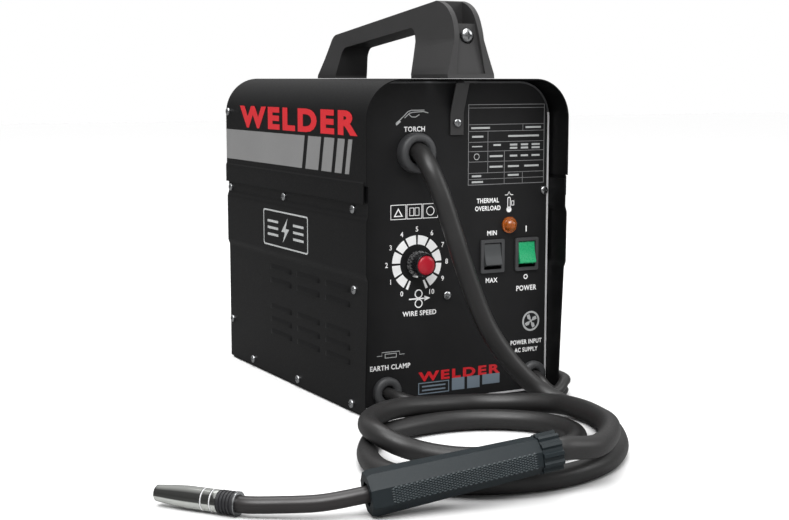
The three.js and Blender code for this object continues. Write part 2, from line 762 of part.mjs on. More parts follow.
function torchHandle() {
  const flat = 1 / Math.cos(Math.PI / 8);
  const profile = [
    [0, 22], [9.2, 22], [9.2, 0], [12.2 * flat, 0], [12.8 * flat, 6], [15.2 * flat, HANDLE_LENGTH - 4],
    [14 * flat, HANDLE_LENGTH], [7.2, HANDLE_LENGTH], [7.2, HANDLE_LENGTH - 16], [0, HANDLE_LENGTH - 16],
  ];
  const body = turned('z', [0, 0], profile, 8, Math.PI / 8);
  const slot = slab('z', box(-30, -3, -6, 6), 58, 108);
  return aimed(cut(body, slot), TORCH_REAR, TORCH_FRONT);
}

function torchEndNut() {
  const ribs = [];
  for (let i = 0; i < 24; i += 1) {
    ribs.push(...arc(0, 0, i % 2 ? 13.4 : 14.4, i * 15 + 2, i * 15 + 13, 1));
  }
  const nut = slab('z', ribs, -NUT_LENGTH, -GAP, [circle(0, 0, 9.2)]);
  return aimed(nut, TORCH_REAR, TORCH_FRONT);
}

function torchTrigger() {
  const outline = [
    [-11, 60], [-17, 62], [-19.6, 68], [-20, 86], [-18, 100], [-15, 106], [-9.5, 106], [-9.5, 60.5],
  ];
  return aimed(slab('y', outline, -5.5, 5.5), TORCH_REAR, TORCH_FRONT);
}

function swanNeck() {
  const inHandle = [-14, -5, 4].map((s) => along(TORCH_REAR, TORCH_FRONT, HANDLE_LENGTH + s));
  const inNozzle = [-20, -9, 2, 12].map((s) => along(NOZZLE_BACK, NOZZLE_TIP, s));
  return tube([...inHandle, [-258, -391, 11.2], [-282, -376, 9.3], ...inNozzle], 6, 12, 20);
}

function nozzleInsulator() {
  const profile = [[6.4, -14], [7.4, -14], [8.3, -12.5], [8.3, -GAP], [6.4, -GAP], [6.4, -14]];
  return aimed(turned('z', [0, 0], profile), NOZZLE_BACK, NOZZLE_TIP);
}

function gasNozzle() {
  const profile = [
    [8, 0], [8, 8], [7.6, 8.6], [7.6, 10], [8, 10.6], [8, 24], [5.8, 50.5], [4.9, 50.5], [7, 24], [7, 0], [8, 0],
  ];
  return aimed(turned('z', [0, 0], profile), NOZZLE_BACK, NOZZLE_TIP);
}

function contactTip() {
  const profile = [
    [0.6, 12.4], [5.2, 12.4], [5.2, 19], [3.2, 20], [3.2, 43], [2.2, 47], [0.6, 47], [0.6, 12.4],
  ];
  return aimed(turned('z', [0, 0], profile, 16), NOZZLE_BACK, NOZZLE_TIP);
}

// ---- leads ----

function earthLead() {
  const [x, z] = EARTH_GROMMET;
  const floor = LEAD_R.earth + 0.3;
  const overMains = floor + 9.1; // the earth lead crosses on top of the mains lead at the corner
  return tube([
    [x, PANEL_FACE + 12, z], [x, PANEL_FACE - 10, z], [x + 6, -156, z - 2], [x + 26, -170, floor + 3],
    [x + 60, -174, floor], [40, -174, floor], [74, -174, floor + 0.4], [89, -171.5, floor + 4.2],
    [100.5, -164, overMains], [107.5, -156.5, overMains], [111, -147, overMains], [112.3, -132, overMains],
    [118.8, -117, floor + 5.6], [127.5, -105, floor + 1.7], [138, -92, floor + 0.7],
    [CLAMP[0] - 3, CLAMP[1] - 100, 6.8], [CLAMP[0], CLAMP[1] - 88, 7.8], [CLAMP[0], CLAMP[1] - 73, 8],
  ], LEAD_R.earth, 8, 55);
}

function mainsLead() {
  const [x, z] = MAINS_GROMMET;
  const floor = LEAD_R.mains + 0.4;
  return tube([
    [x, PANEL_FACE + 12, z], [x, PANEL_FACE - 10, z], [x, -150, z - 3], [x + 3, -157, floor + 4],
    [x + 10, -161.5, floor], [105, -158, floor], [110, -148, floor], [110.5, -130, floor], [110.5, -70, floor],
    [110.5, 0, floor], [113, 50, floor], [124, 84, floor + 2], [142, 92, 11], [PLUG[0], 102, 13],
    [PLUG[0], 112, 13], [PLUG[0], 120, 13],
  ], LEAD_R.mains, 8, 55);
}

const CLAMP_PIN_Z = 17;

function clampJawLower() {
  const [x, y] = CLAMP;
  const outline = [
    [-78, 1.5], [-60, 0.4], [30, 0.4], [56, 3], [66, 8], [66, 12.3], [60, 10.6], [54, 12.3], [48, 10.6], [42, 12.3],
    [30, 8], [10, 9.5], [-20, 8], [-50, 3.4], [-78, 3.4],
  ].map(([a, b]) => [y + a, b]);
  const body = slab('x', outline, x - 7.5, x + 7.5);
  const lead = rod('y', [x, 8], 8, y - 84, y - 66, 16);
  const cheeks = [[x - 9.6, x - 7.2], [x + 7.2, x + 9.6]].map(([low, high]) => slab('x',
    [[y - 12, 4], [y + 12, 4], [y + 8, 20], [y + 4, 24], [y - 4, 24], [y - 8, 20]], low, high));
  const pinHole = rod('x', [y, CLAMP_PIN_Z], 2.8, x - 12, x + 12, 16);
  const leadHole = rod('y', [x, 8], LEAD_R.earth + 0.6, y - 90, y - 70, 16);
  return cut(fuse(body, lead, ...cheeks), pinHole, leadHole);
}

function clampJawUpper() {
  const [x, y] = CLAMP;
  const outline = [
    [-78, 50], [-76, 46.5], [-30, 28], [-12, 20], [-8, 12.5], [10, 12.5], [30, 16], [42, 12.9], [48, 12.9], [54, 12.9],
    [60, 12.9], [66, 12.9], [66, 17], [56, 22], [20, 27], [-10, 27], [-30, 32],
  ].map(([a, b]) => [y + a, b]);
  return cut(slab('x', outline, x - 6.6, x + 6.6), rod('x', [y, CLAMP_PIN_Z], 2.8, x - 12, x + 12, 16));
}

function clampPin() {
  const [x, y] = CLAMP;
  const profile = [
    [0, -11.6], [4.6, -11.6], [4.6, -9.9], [2.4, -9.9], [2.4, 9.9], [4.6, 9.9], [4.6, 11.6], [0, 11.6],
  ];
  return turned('x', [y, CLAMP_PIN_Z], profile, 16).translate(x, 0, 0);
}

function mainsPlug() {
  const [x, y] = PLUG;
  const shell = slab('z', [
    [x - 12, y - 25], [x + 12, y - 25], [x + 24, y - 6], [x + 25, y + 20], [x + 20, y + 25],
    [x - 20, y + 25], [x - 25, y + 20], [x - 24, y - 6],
  ], 0.4, 30);
  const pins = [
    block(x - 2, x + 2, y + 8, y + 16, 28, 52),
    block(x - 14, x - 8, y - 12, y - 8, 28, 47),
    block(x + 8, x + 14, y - 12, y - 8, 28, 47),
  ];
  const leadHole = rod('y', [x, 13], LEAD_R.mains + 0.6, y - 30, y - 10, 16);
  return cut(fuse(shell, ...pins), leadHole);
}

// ---- assembly ----

const FINISH = {
  caseBlack: ['#232325', 0.45, 0.3],
  innerSteel: ['#8f9497', 0.45, 0.8],
  screwZinc: ['#c9cbcc', 0.3, 1],
  plasticDark: ['#47484b', 0.6, 0],
  plasticBlack: ['#222224', 0.5, 0],
  rubber: ['#3c3b3b', 0.55, 0],
  torchPlastic: ['#454f55', 0.55, 0],
  neckMetal: ['#4c4646', 0.4, 0.6],
  chrome: ['#d4d6d8', 0.1, 1],
  copper: ['#b4693c', 0.35, 1],
  brass: ['#b8924a', 0.35, 1],
  red: ['#c8152a', 0.45, 0],
  green: ['#23a05f', 0.35, 0],
  amber: ['#dd7722', 0.2, 0],
  laminated: ['#4a4d52', 0.6, 0.5],
  board: ['#1f5a3a', 0.55, 0],
  aluminium: ['#b5b9bc', 0.4, 0.9],
  wire: ['#a7774f', 0.3, 0.9],
};

const PARTS = [
  ['base_pan', basePan, 'caseBlack'],
  ['front_panel', frontPanel, 'caseBlack'],
  ['rear_panel', rearPanel, 'caseBlack'],
  ['left_side_panel', () => sidePanel('left'), 'caseBlack'],
  ['right_side_panel', () => sidePanel('right'), 'caseBlack'],
  ['top_cover', topCover, 'caseBlack'],
  ['wire_cover', wireCover, 'caseBlack'],
  ['cover_hinge_pin', () => rod('y', [HINGE_X, HINGE_Z], 1.2, -HINGE_HALF, HINGE_HALF, 12), 'screwZinc'],
  ['cover_screw', coverScrew, 'screwZinc'],
  ['shelf_plate', shelfPlate, 'innerSteel'],
  ['divider_plate', dividerPlate, 'innerSteel'],
  ['panel_screw_left', () => panelScrew(PANEL_SCREWS.left), 'screwZinc'],
  ['panel_screw_right', () => panelScrew(PANEL_SCREWS.right), 'screwZinc'],
  ['handle', handle, 'plasticDark'],
  ['handle_strap', handleStrap, 'plasticBlack'],
  ['handle_bolt', handleBolt, 'plasticBlack'],
  ['strap_screw', () => panelScrew([0, STRAP_SCREW_Z], -134.7), 'screwZinc'],
  ['torch_bush', torchBush, 'plasticDark'],
  ['earth_grommet', () => grommet(EARTH_GROMMET, 14, 10.2, LEAD_R.earth + 0.8), 'plasticDark'],
  ['mains_grommet', () => grommet(MAINS_GROMMET, 13, 9.2, LEAD_R.mains + 0.8), 'plasticDark'],
  ['overload_lamp', lamp, 'amber'],
  ['speed_potentiometer', potentiometer, 'innerSteel'],
  ['speed_knob', speedKnob, 'plasticBlack'],
  ['knob_cap', knobCap, 'red'],
  ['range_switch', () => switchBody(RANGE_SWITCH), 'plasticBlack'],
  ['range_rocker', () => rocker(RANGE_SWITCH), 'plasticDark'],
  ['power_switch', () => switchBody(POWER_SWITCH), 'plasticBlack'],
  ['power_rocker', () => rocker(POWER_SWITCH), 'green'],
  ['transformer_core', transformerCore, 'laminated'],
  ['primary_winding', () => winding(0.6, 6.4), 'copper'],
  ['secondary_winding', () => winding(7.5, 7), 'aluminium'],
  ['rectifier', rectifier, 'aluminium'],
  ['fan_housing', fanHousing, 'plasticBlack'],
  ['fan_rotor', fanRotor, 'plasticDark'],
  ['control_board', controlBoard, 'board'],
  ['feed_motor', feedMotor, 'innerSteel'],
  ['feed_housing', feedHousing, 'plasticBlack'],
  ['wire_guide', wireGuide, 'brass'],
  ['drive_roller', driveRoller, 'screwZinc'],
  ['pressure_arm', pressureArm, 'plasticDark'],
  ['pressure_roller', pressureRoller, 'screwZinc'],
  ['tension_knob', tensionKnob, 'plasticBlack'],
  ['spool_axle', spoolAxle, 'plasticBlack'],
  ['wire_spool', wireSpool, 'plasticDark'],
  ['wire_coil', wireCoil, 'wire'],
  ['spool_nut', spoolNut, 'plasticBlack'],
  ['torch_cable', torchCable, 'rubber'],
  ['torch_handle', torchHandle, 'torchPlastic'],
  ['torch_end_nut', torchEndNut, 'torchPlastic'],
  ['torch_trigger', torchTrigger, 'plasticBlack'],
  ['swan_neck', swanNeck, 'neckMetal'],
  ['nozzle_insulator', nozzleInsulator, 'plasticBlack'],
  ['gas_nozzle', gasNozzle, 'chrome'],
  ['contact_tip', contactTip, 'copper'],
  ['earth_lead', earthLead, 'rubber'],
  ['clamp_jaw_lower', clampJawLower, 'screwZinc'],
  ['clamp_jaw_upper', clampJawUpper, 'screwZinc'],
  ['clamp_pin', clampPin, 'screwZinc'],
  ['mains_lead', mainsLead, 'rubber'],
  ['mains_plug', mainsPlug, 'plasticBlack'],
];

const machine = new THREE.Group();
machine.name = 'mig_welding_machine';

for (const [name, build, finish] of PARTS) {
  const [color, roughness, metalness] = FINISH[finish];
  const material = new THREE.MeshStandardMaterial({ color, roughness, metalness, flatShading: true });
  const mesh = new THREE.Mesh(build(), material);
  mesh.name = name;
  machine.add(mesh);
}

export default machine;
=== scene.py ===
"""Looks of the portable MIG welding machine.

Lengths are in millimetres until a mesh is made. The studio is in metres.
"""

import math

import bmesh
import bpy
from mathutils import Matrix, Vector
from mathutils.geometry import tessellate_polygon


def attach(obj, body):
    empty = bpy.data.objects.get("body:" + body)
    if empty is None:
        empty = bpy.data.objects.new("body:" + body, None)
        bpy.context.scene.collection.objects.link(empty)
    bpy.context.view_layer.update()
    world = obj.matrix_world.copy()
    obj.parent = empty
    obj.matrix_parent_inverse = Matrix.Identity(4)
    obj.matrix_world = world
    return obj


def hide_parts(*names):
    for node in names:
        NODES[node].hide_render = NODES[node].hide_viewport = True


MM = 0.001

# ---- dimensions shared with the CAD ----

CASE_HALF = 105
CASE_HEIGHT = 297
CASE_FRONT = -159
CASE_BACK = 166.5
CORNER_R = 36
SHEET = 1.2
COVER_BOTTOM = 189.6
SIDE_FACE = 103
PAD_FACE = 104.8
PANEL_FACE = -132.4
BACK_FACE = 154.5
TRAY_DEPTH = 14
HINGE_X = -30
HINGE_Z = 294.5
KNUCKLE_FIRST = -99.8
KNUCKLE_PITCH = 40
KNUCKLE_LENGTH = 39.6

LOUVRE_LENGTH = 52
LOUVRE_PITCH = 64
LOUVRE_FIRST = -123
LOUVRE_ROWS = [109.7, 96.3, 70, 57, 44.3]

FAN = (-22, 56)
GRILLE_R = 40
GRILLE_PITCH = 8

BUSH = (-43, 231.6)
CABLE_R = 8.5
DIAL = (-40.3, 131.9)
LAMP = (57.5, 162)
RANGE_SWITCH = (39.3, 133.7)
POWER_SWITCH = (77, 133.7)
BEZEL_HALF = (12.75, 15.5)
ROCKER_TILT = math.radians(-12)
EARTH_GROMMET = (-71.6, 16.5)
MAINS_GROMMET = (85.6, 17.6)
PANEL_SCREWS = ((-8.8, 100.3), (96.2, 192.9))
STRAP_SCREW = (0, 257.6)
COVER_SCREW = (159.5, 262.7)
HANDLE_BOLT = (0, 335)

TORCH_REAR = Vector((-105.9, -426, 33.8))
TORCH_FRONT = Vector((-229, -401, 15.6))
TORCH_LENGTH = 126
GRIP_REAR = 12.8
GRIP_FRONT = 15.2
NUT_LENGTH = 15.5
NECK_R = 6
NOZZLE_BACK = Vector((-314, -347, 8.5))
NOZZLE_TIP = Vector((-345.5, -307.5, 8.5))

EARTH_LEAD_R = 5
MAINS_LEAD_R = 4.1
CLAMP = (150, 20)
PLUG = (150, 132)

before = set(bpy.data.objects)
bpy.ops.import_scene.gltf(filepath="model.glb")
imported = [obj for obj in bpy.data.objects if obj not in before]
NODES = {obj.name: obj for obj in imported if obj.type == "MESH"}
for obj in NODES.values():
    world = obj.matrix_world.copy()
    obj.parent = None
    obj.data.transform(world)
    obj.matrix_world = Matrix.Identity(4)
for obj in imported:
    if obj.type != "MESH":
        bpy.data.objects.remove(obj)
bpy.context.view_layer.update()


# ---- outlines: lists of (a, b) points in a plane ----

def arc(a, b, r, start, end, steps):
    angles = [math.radians(start + (end - start) * i / steps) for i in range(steps + 1)]
    return [(a + r * math.cos(t), b + r * math.sin(t)) for t in angles]


def circle(a, b, r, sides=64):
    return arc(a, b, r, 0, 360, sides)[:-1]


def box(a0, a1, b0, b1):
    return [(a0, b0), (a1, b0), (a1, b1), (a0, b1)]


def round_box(a0, a1, b0, b1, top, bottom=None, steps=10):
    low = top if bottom is None else bottom
    return (
        arc(a0 + low, b0 + low, low, 180, 270, steps)
        + arc(a1 - low, b0 + low, low, 270, 360, steps)
        + arc(a1 - top, b1 - top, top, 0, 90, steps)
        + arc(a0 + top, b1 - top, top, 90, 180, steps)
    )


def mirrored(points):
    return [(-a, b) for a, b in points]


def rounded(points, radii, steps=8):
    """The outline with corner i replaced by a curve; a radius may be a (before, after) pair of lengths."""
    result = []
    for i, corner in enumerate(points):
        before_length, after_length = radii[i] if isinstance(radii[i], tuple) else (radii[i], radii[i])
        here = Vector(corner)
        if before_length <= 0:
            result.append(tuple(here))
            continue
        before = here + (Vector(points[i - 1]) - here).normalized() * before_length
        after = here + (Vector(points[(i + 1) % len(points)]) - here).normalized() * after_length
        for k in range(steps + 1):
            t = k / steps
            spot = before * (1 - t) ** 2 + here * 2 * t * (1 - t) + after * t * t
            result.append(tuple(spot))
    return result


def sheet_along(path, thickness):
    """Outline of a sheet that follows a path, with its thickness on the right of the direction of travel."""
    normals = []
    for (a0, b0), (a1, b1) in zip(path, path[1:]):
        length = math.hypot(a1 - a0, b1 - b0)
        normals.append(((b1 - b0) / length, -(a1 - a0) / length))
    inner = []
    for i, (a, b) in enumerate(path):
        n0 = normals[max(i - 1, 0)]
        n1 = normals[min(i, len(normals) - 1)]
        shift = thickness / (1 + n0[0] * n1[0] + n0[1] * n1[1])
        inner.append((a + (n0[0] + n1[0]) * shift, b + (n0[1] + n1[1]) * shift))
    return path + inner[::-1]


# ---- meshes: (vertices in mm, faces) ----

def placed(axis, a, b, along):
    return {"x": (along, a, b), "y": (a, along, b), "z": (a, b, along)}[axis]


def slab(axis, outline, low, high, holes=()):
    """A prism along an axis, with an outline in (y, z) for x, (x, z) for y and (x, y) for z."""
    loops = [list(outline)] + [list(hole) for hole in holes]
    flat = [point for loop in loops for point in loop]
    verts = [placed(axis, a, b, low) for a, b in flat] + [placed(axis, a, b, high) for a, b in flat]
    count = len(flat)
    if holes:
        loops_3d = [[Vector((a, b, 0)) for a, b in loop] for loop in loops]
        caps = [tuple(face) for face in tessellate_polygon(loops_3d)]
    else:
        caps = [tuple(range(count))]
    faces = list(caps) + [tuple(i + count for i in face) for face in caps]
    first = 0
    for loop in loops:
        size = len(loop)
        for i in range(size):
            j = (i + 1) % size
            faces.append((first + i, first + j, first + j + count, first + i + count))
        first += size
    return verts, faces


def block(x0, x1, y0, y1, z0, z1):
    return slab("z", box(x0, x1, y0, y1), z0, z1)


def ring_faces(rings, sides):
    """The quads between neighbouring rings of vertices."""
    faces = []
    for i in range(rings - 1):
        for k in range(sides):
            j = (k + 1) % sides
            faces.append((i * sides + k, i * sides + j, (i + 1) * sides + j, (i + 1) * sides + k))
    return faces


def turned(axis, centre, profile, sides=64, phase=0):
    """A solid of revolution; the profile is (radius, distance along the axis)."""
    verts = []
    for r, h in profile:
        for k in range(sides):
            t = 2 * math.pi * k / sides + phase
            verts.append(placed(axis, centre[0] + r * math.cos(t), centre[1] + r * math.sin(t), h))
    return verts, ring_faces(len(profile), sides)


def catmull_rom(points, spacing):
    """Points every `spacing` along a centripetal spline through the control points."""
    pts = [Vector(p) for p in points]
    pts = [pts[0] * 2 - pts[1]] + pts + [pts[-1] * 2 - pts[-2]]
    dense = []
    for p0, p1, p2, p3 in zip(pts, pts[1:], pts[2:], pts[3:]):
        t0, t1, t2 = [(b - a).length ** 0.5 for a, b in ((p0, p1), (p1, p2), (p2, p3))]
        m1 = (p1 - p0) / t0 - (p2 - p0) / (t0 + t1) + (p2 - p1) / t1
        m2 = (p2 - p1) / t1 - (p3 - p1) / (t1 + t2) + (p3 - p2) / t2
        m1, m2 = m1 * t1, m2 * t1
        for k in range(40):
            t = k / 40
            dense.append(
                p1
                + m1 * t
                + (p1 * -3 + p2 * 3 - m1 * 2 - m2) * t * t
                + (p1 * 2 - p2 * 2 + m1 + m2) * t ** 3
            )
    dense.append(pts[-2])
    lengths = [0.0]
    for a, b in zip(dense, dense[1:]):
        lengths.append(lengths[-1] + (b - a).length)
    steps = max(2, round(lengths[-1] / spacing))
    result = []
    at = 0
    for k in range(steps + 1):
        goal = lengths[-1] * k / steps
        while at < len(lengths) - 2 and lengths[at + 1] < goal:
            at += 1
        share = (goal - lengths[at]) / (lengths[at + 1] - lengths[at])
        result.append(dense[at].lerp(dense[at + 1], min(max(share, 0), 1)))
    return result


def tube(points, radius, sides=36, spacing=2.5):
    path = catmull_rom(points, spacing)
    verts = []
    side = None
    for i, spot in enumerate(path):
        ahead = (path[min(i + 1, len(path) - 1)] - path[max(i - 1, 0)]).normalized()
        side = ahead.orthogonal() if side is None else side - ahead * side.dot(ahead)
        side.normalize()
        up = ahead.cross(side)
        for k in range(sides):
            t = 2 * math.pi * k / sides
            verts.append(tuple(spot + side * radius * math.cos(t) + up * radius * math.sin(t)))
    caps = [tuple(range(sides)), tuple(range(len(verts) - sides, len(verts)))]
    return verts, caps + ring_faces(len(path), sides)


def along(start, end, distance):
    return start + (end - start).normalized() * distance


def aimed(mesh, start, end):
    """Moves a mesh built along +Z from the origin so that it starts at one point and runs towards another."""
    verts, faces = mesh
    ahead = (end - start).normalized()
    side = Vector((0, 0, 1)).cross(ahead).normalized()
    up = ahead.cross(side)
    return [tuple(start + side * x + up * y + ahead * z) for x, y, z in verts], faces


def on_torch(mesh):
    return aimed(mesh, TORCH_REAR, TORCH_FRONT)


def on_nozzle(mesh):
    return aimed(mesh, NOZZLE_BACK, NOZZLE_TIP)


def merged(*meshes):
    verts, faces = [], []
    for some_verts, some_faces in meshes:
        shift = len(verts)
        verts += some_verts
        faces += [tuple(i + shift for i in face) for face in some_faces]
    return verts, faces


# ---- pieces ----

def linked(name, data):
    obj = bpy.data.objects.new(name, data)
    bpy.context.scene.collection.objects.link(obj)
    return obj


def evaluated_mesh(obj):
    depsgraph = bpy.context.evaluated_depsgraph_get()
    return bpy.data.meshes.new_from_object(obj.evaluated_get(depsgraph))


def smooth_by_angle(mesh, degrees):
    mesh.polygons.foreach_set("use_smooth", [True] * len(mesh.polygons))
    mesh.set_sharp_from_angle(angle=math.radians(degrees))


def bevelled(obj, width, segments=2, angle=35):
    modifier = obj.modifiers.new("edges", "BEVEL")
    modifier.width = width * MM
    modifier.segments = segments
    modifier.limit_method = "ANGLE"
    modifier.angle_limit = math.radians(angle)
    modifier.harden_normals = True


def new_object(name, mesh_data, smooth=40):
    verts, faces = mesh_data
    mesh = bpy.data.meshes.new(name)
    mesh.from_pydata([(x * MM, y * MM, z * MM) for x, y, z in verts], [], faces)
    work = bmesh.new()
    work.from_mesh(mesh)
    bmesh.ops.remove_doubles(work, verts=work.verts, dist=1e-7)
    bmesh.ops.dissolve_degenerate(work, edges=work.edges, dist=1e-8)
    bmesh.ops.recalc_face_normals(work, faces=work.faces)
    work.to_mesh(mesh)
    work.free()
    smooth_by_angle(mesh, smooth)
    return linked(name, mesh)


def dressed(obj, material, body="machine", nodes=()):
    """Gives a piece its material, the body it rides and the CAD nodes it stands for."""
    obj.data.materials.clear()
    obj.data.materials.append(MATERIALS[material])
    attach(obj, body)
    if nodes:
        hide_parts(*nodes)


def piece(name, mesh_data, material, body="machine", nodes=(), bevel=0, segments=2, smooth=40, slot=None):
    obj = new_object(name, mesh_data, smooth)
    if bevel:
        bevelled(obj, bevel, segments)
    dressed(obj, material, body, nodes)


def fine(node, mesh_data, material, body="machine", **looks):
    """A finer mesh that stands for one CAD node."""
    piece(node + "_fine", mesh_data, material, body, [node], **looks)


def mesh_of(obj):
    """Takes the mesh out of an object that was only a help, and removes the object."""
    verts = [tuple(v.co / MM) for v in obj.data.vertices]
    faces = [tuple(p.vertices) for p in obj.data.polygons]
    bpy.data.objects.remove(obj)
    return verts, faces


def carve(obj, *cutters):
    """Subtracts meshes from an object, in place."""
    for mesh_data in cutters:
        tool = new_object("cutter", mesh_data)
        modifier = obj.modifiers.new("carve", "BOOLEAN")
        modifier.operation = "DIFFERENCE"
        modifier.solver = "EXACT"
        modifier.object = tool
        result = evaluated_mesh(obj)
        obj.modifiers.remove(modifier)
        obj.data = result
        bpy.data.objects.remove(tool)
    smooth_by_angle(obj.data, 40)


# ---- materials ----

def add_node(tree, kind, inputs=(), **settings):
    node = tree.nodes.new(kind)
    for key, value in settings.items():
        setattr(node, key, value)
    for key, value in dict(inputs).items():
        node.inputs[key].default_value = value
    return node


def remap(tree, source, from_range, to_range):
    """A map range node fed by a socket; returns its result."""
    (from_low, from_high), (to_low, to_high) = from_range, to_range
    node = add_node(tree, "ShaderNodeMapRange", {"From Min": from_low, "From Max": from_high,
                                                 "To Min": to_low, "To Max": to_high})
    tree.links.new(source, node.inputs["Value"])
    return node.outputs["Result"]


def surface(name, color, roughness, metallic=0.0, grain=900, bump=0.15, depth=0.00004, mottle=0.12,
            scuff=0.0, specular=0.5, coat=0.0, transmission=0.0, streak=None):
    """A surface whose colour and roughness drift, with a fine bump and an optional scatter of scuffs."""
    material = bpy.data.materials.new(name)
    material.use_nodes = True
    tree = material.node_tree
    link = tree.links.new
    shader = tree.nodes["Principled BSDF"]
    shader.inputs["Metallic"].default_value = metallic
    shader.inputs["Specular IOR Level"].default_value = specular
    shader.inputs["Coat Weight"].default_value = coat
    shader.inputs["Transmission Weight"].default_value = transmission
    place = add_node(tree, "ShaderNodeTexCoord")
    scaling = add_node(tree, "ShaderNodeMapping", {"Scale": streak or (1, 1, 1)})
    link(place.outputs["Object"], scaling.inputs["Vector"])

    drift = add_node(tree, "ShaderNodeTexNoise", {"Scale": 22, "Detail": 6, "Roughness": 0.6})
    link(scaling.outputs["Vector"], drift.inputs["Vector"])
    shade = remap(tree, drift.outputs["Fac"], (0.3, 0.7), (1 - mottle, 1 + mottle))
    tint = add_node(tree, "ShaderNodeVectorMath", operation="SCALE")
    tint.inputs[0].default_value = color
    link(shade, tint.inputs["Scale"])

    grains = add_node(tree, "ShaderNodeTexNoise", {"Scale": grain, "Detail": 3, "Roughness": 0.5})
    link(scaling.outputs["Vector"], grains.inputs["Vector"])
    rough_out = remap(tree, grains.outputs["Fac"], (0.3, 0.7), (roughness * 0.86, roughness * 1.14))

    colour_out = tint.outputs["Vector"]
    if scuff:
        scratch = add_node(tree, "ShaderNodeTexNoise", {"Scale": 70, "Detail": 12, "Roughness": 0.75,
                                                        "Distortion": 1.5})
        link(place.outputs["Object"], scratch.inputs["Vector"])
        mask = remap(tree, scratch.outputs["Fac"], (0.66, 0.74), (0, scuff))
        worn = add_node(tree, "ShaderNodeMix", data_type="RGBA")
        link(mask, worn.inputs["Factor"])
        link(colour_out, worn.inputs["A"])
        worn.inputs["B"].default_value = [min(c * 2.2 + 0.02, 1) for c in color] + [1]
        colour_out = worn.outputs["Result"]
        rougher = add_node(tree, "ShaderNodeMath", operation="MULTIPLY_ADD")
        rougher.inputs[1].default_value = 0.25
        link(mask, rougher.inputs[0])
        link(rough_out, rougher.inputs[2])
        rough_out = rougher.outputs["Value"]
    link(colour_out, shader.inputs["Base Color"])
    link(rough_out, shader.inputs["Roughness"])

    if bump:
        relief = add_node(tree, "ShaderNodeBump", {"Strength": bump, "Distance": depth})
        link(grains.outputs["Fac"], relief.inputs["Height"])
        link(relief.outputs["Normal"], shader.inputs["Normal"])
    return material


def ink(name, color, roughness, mottle):
    return surface(name, color, roughness, grain=1200, bump=0.1, mottle=mottle)


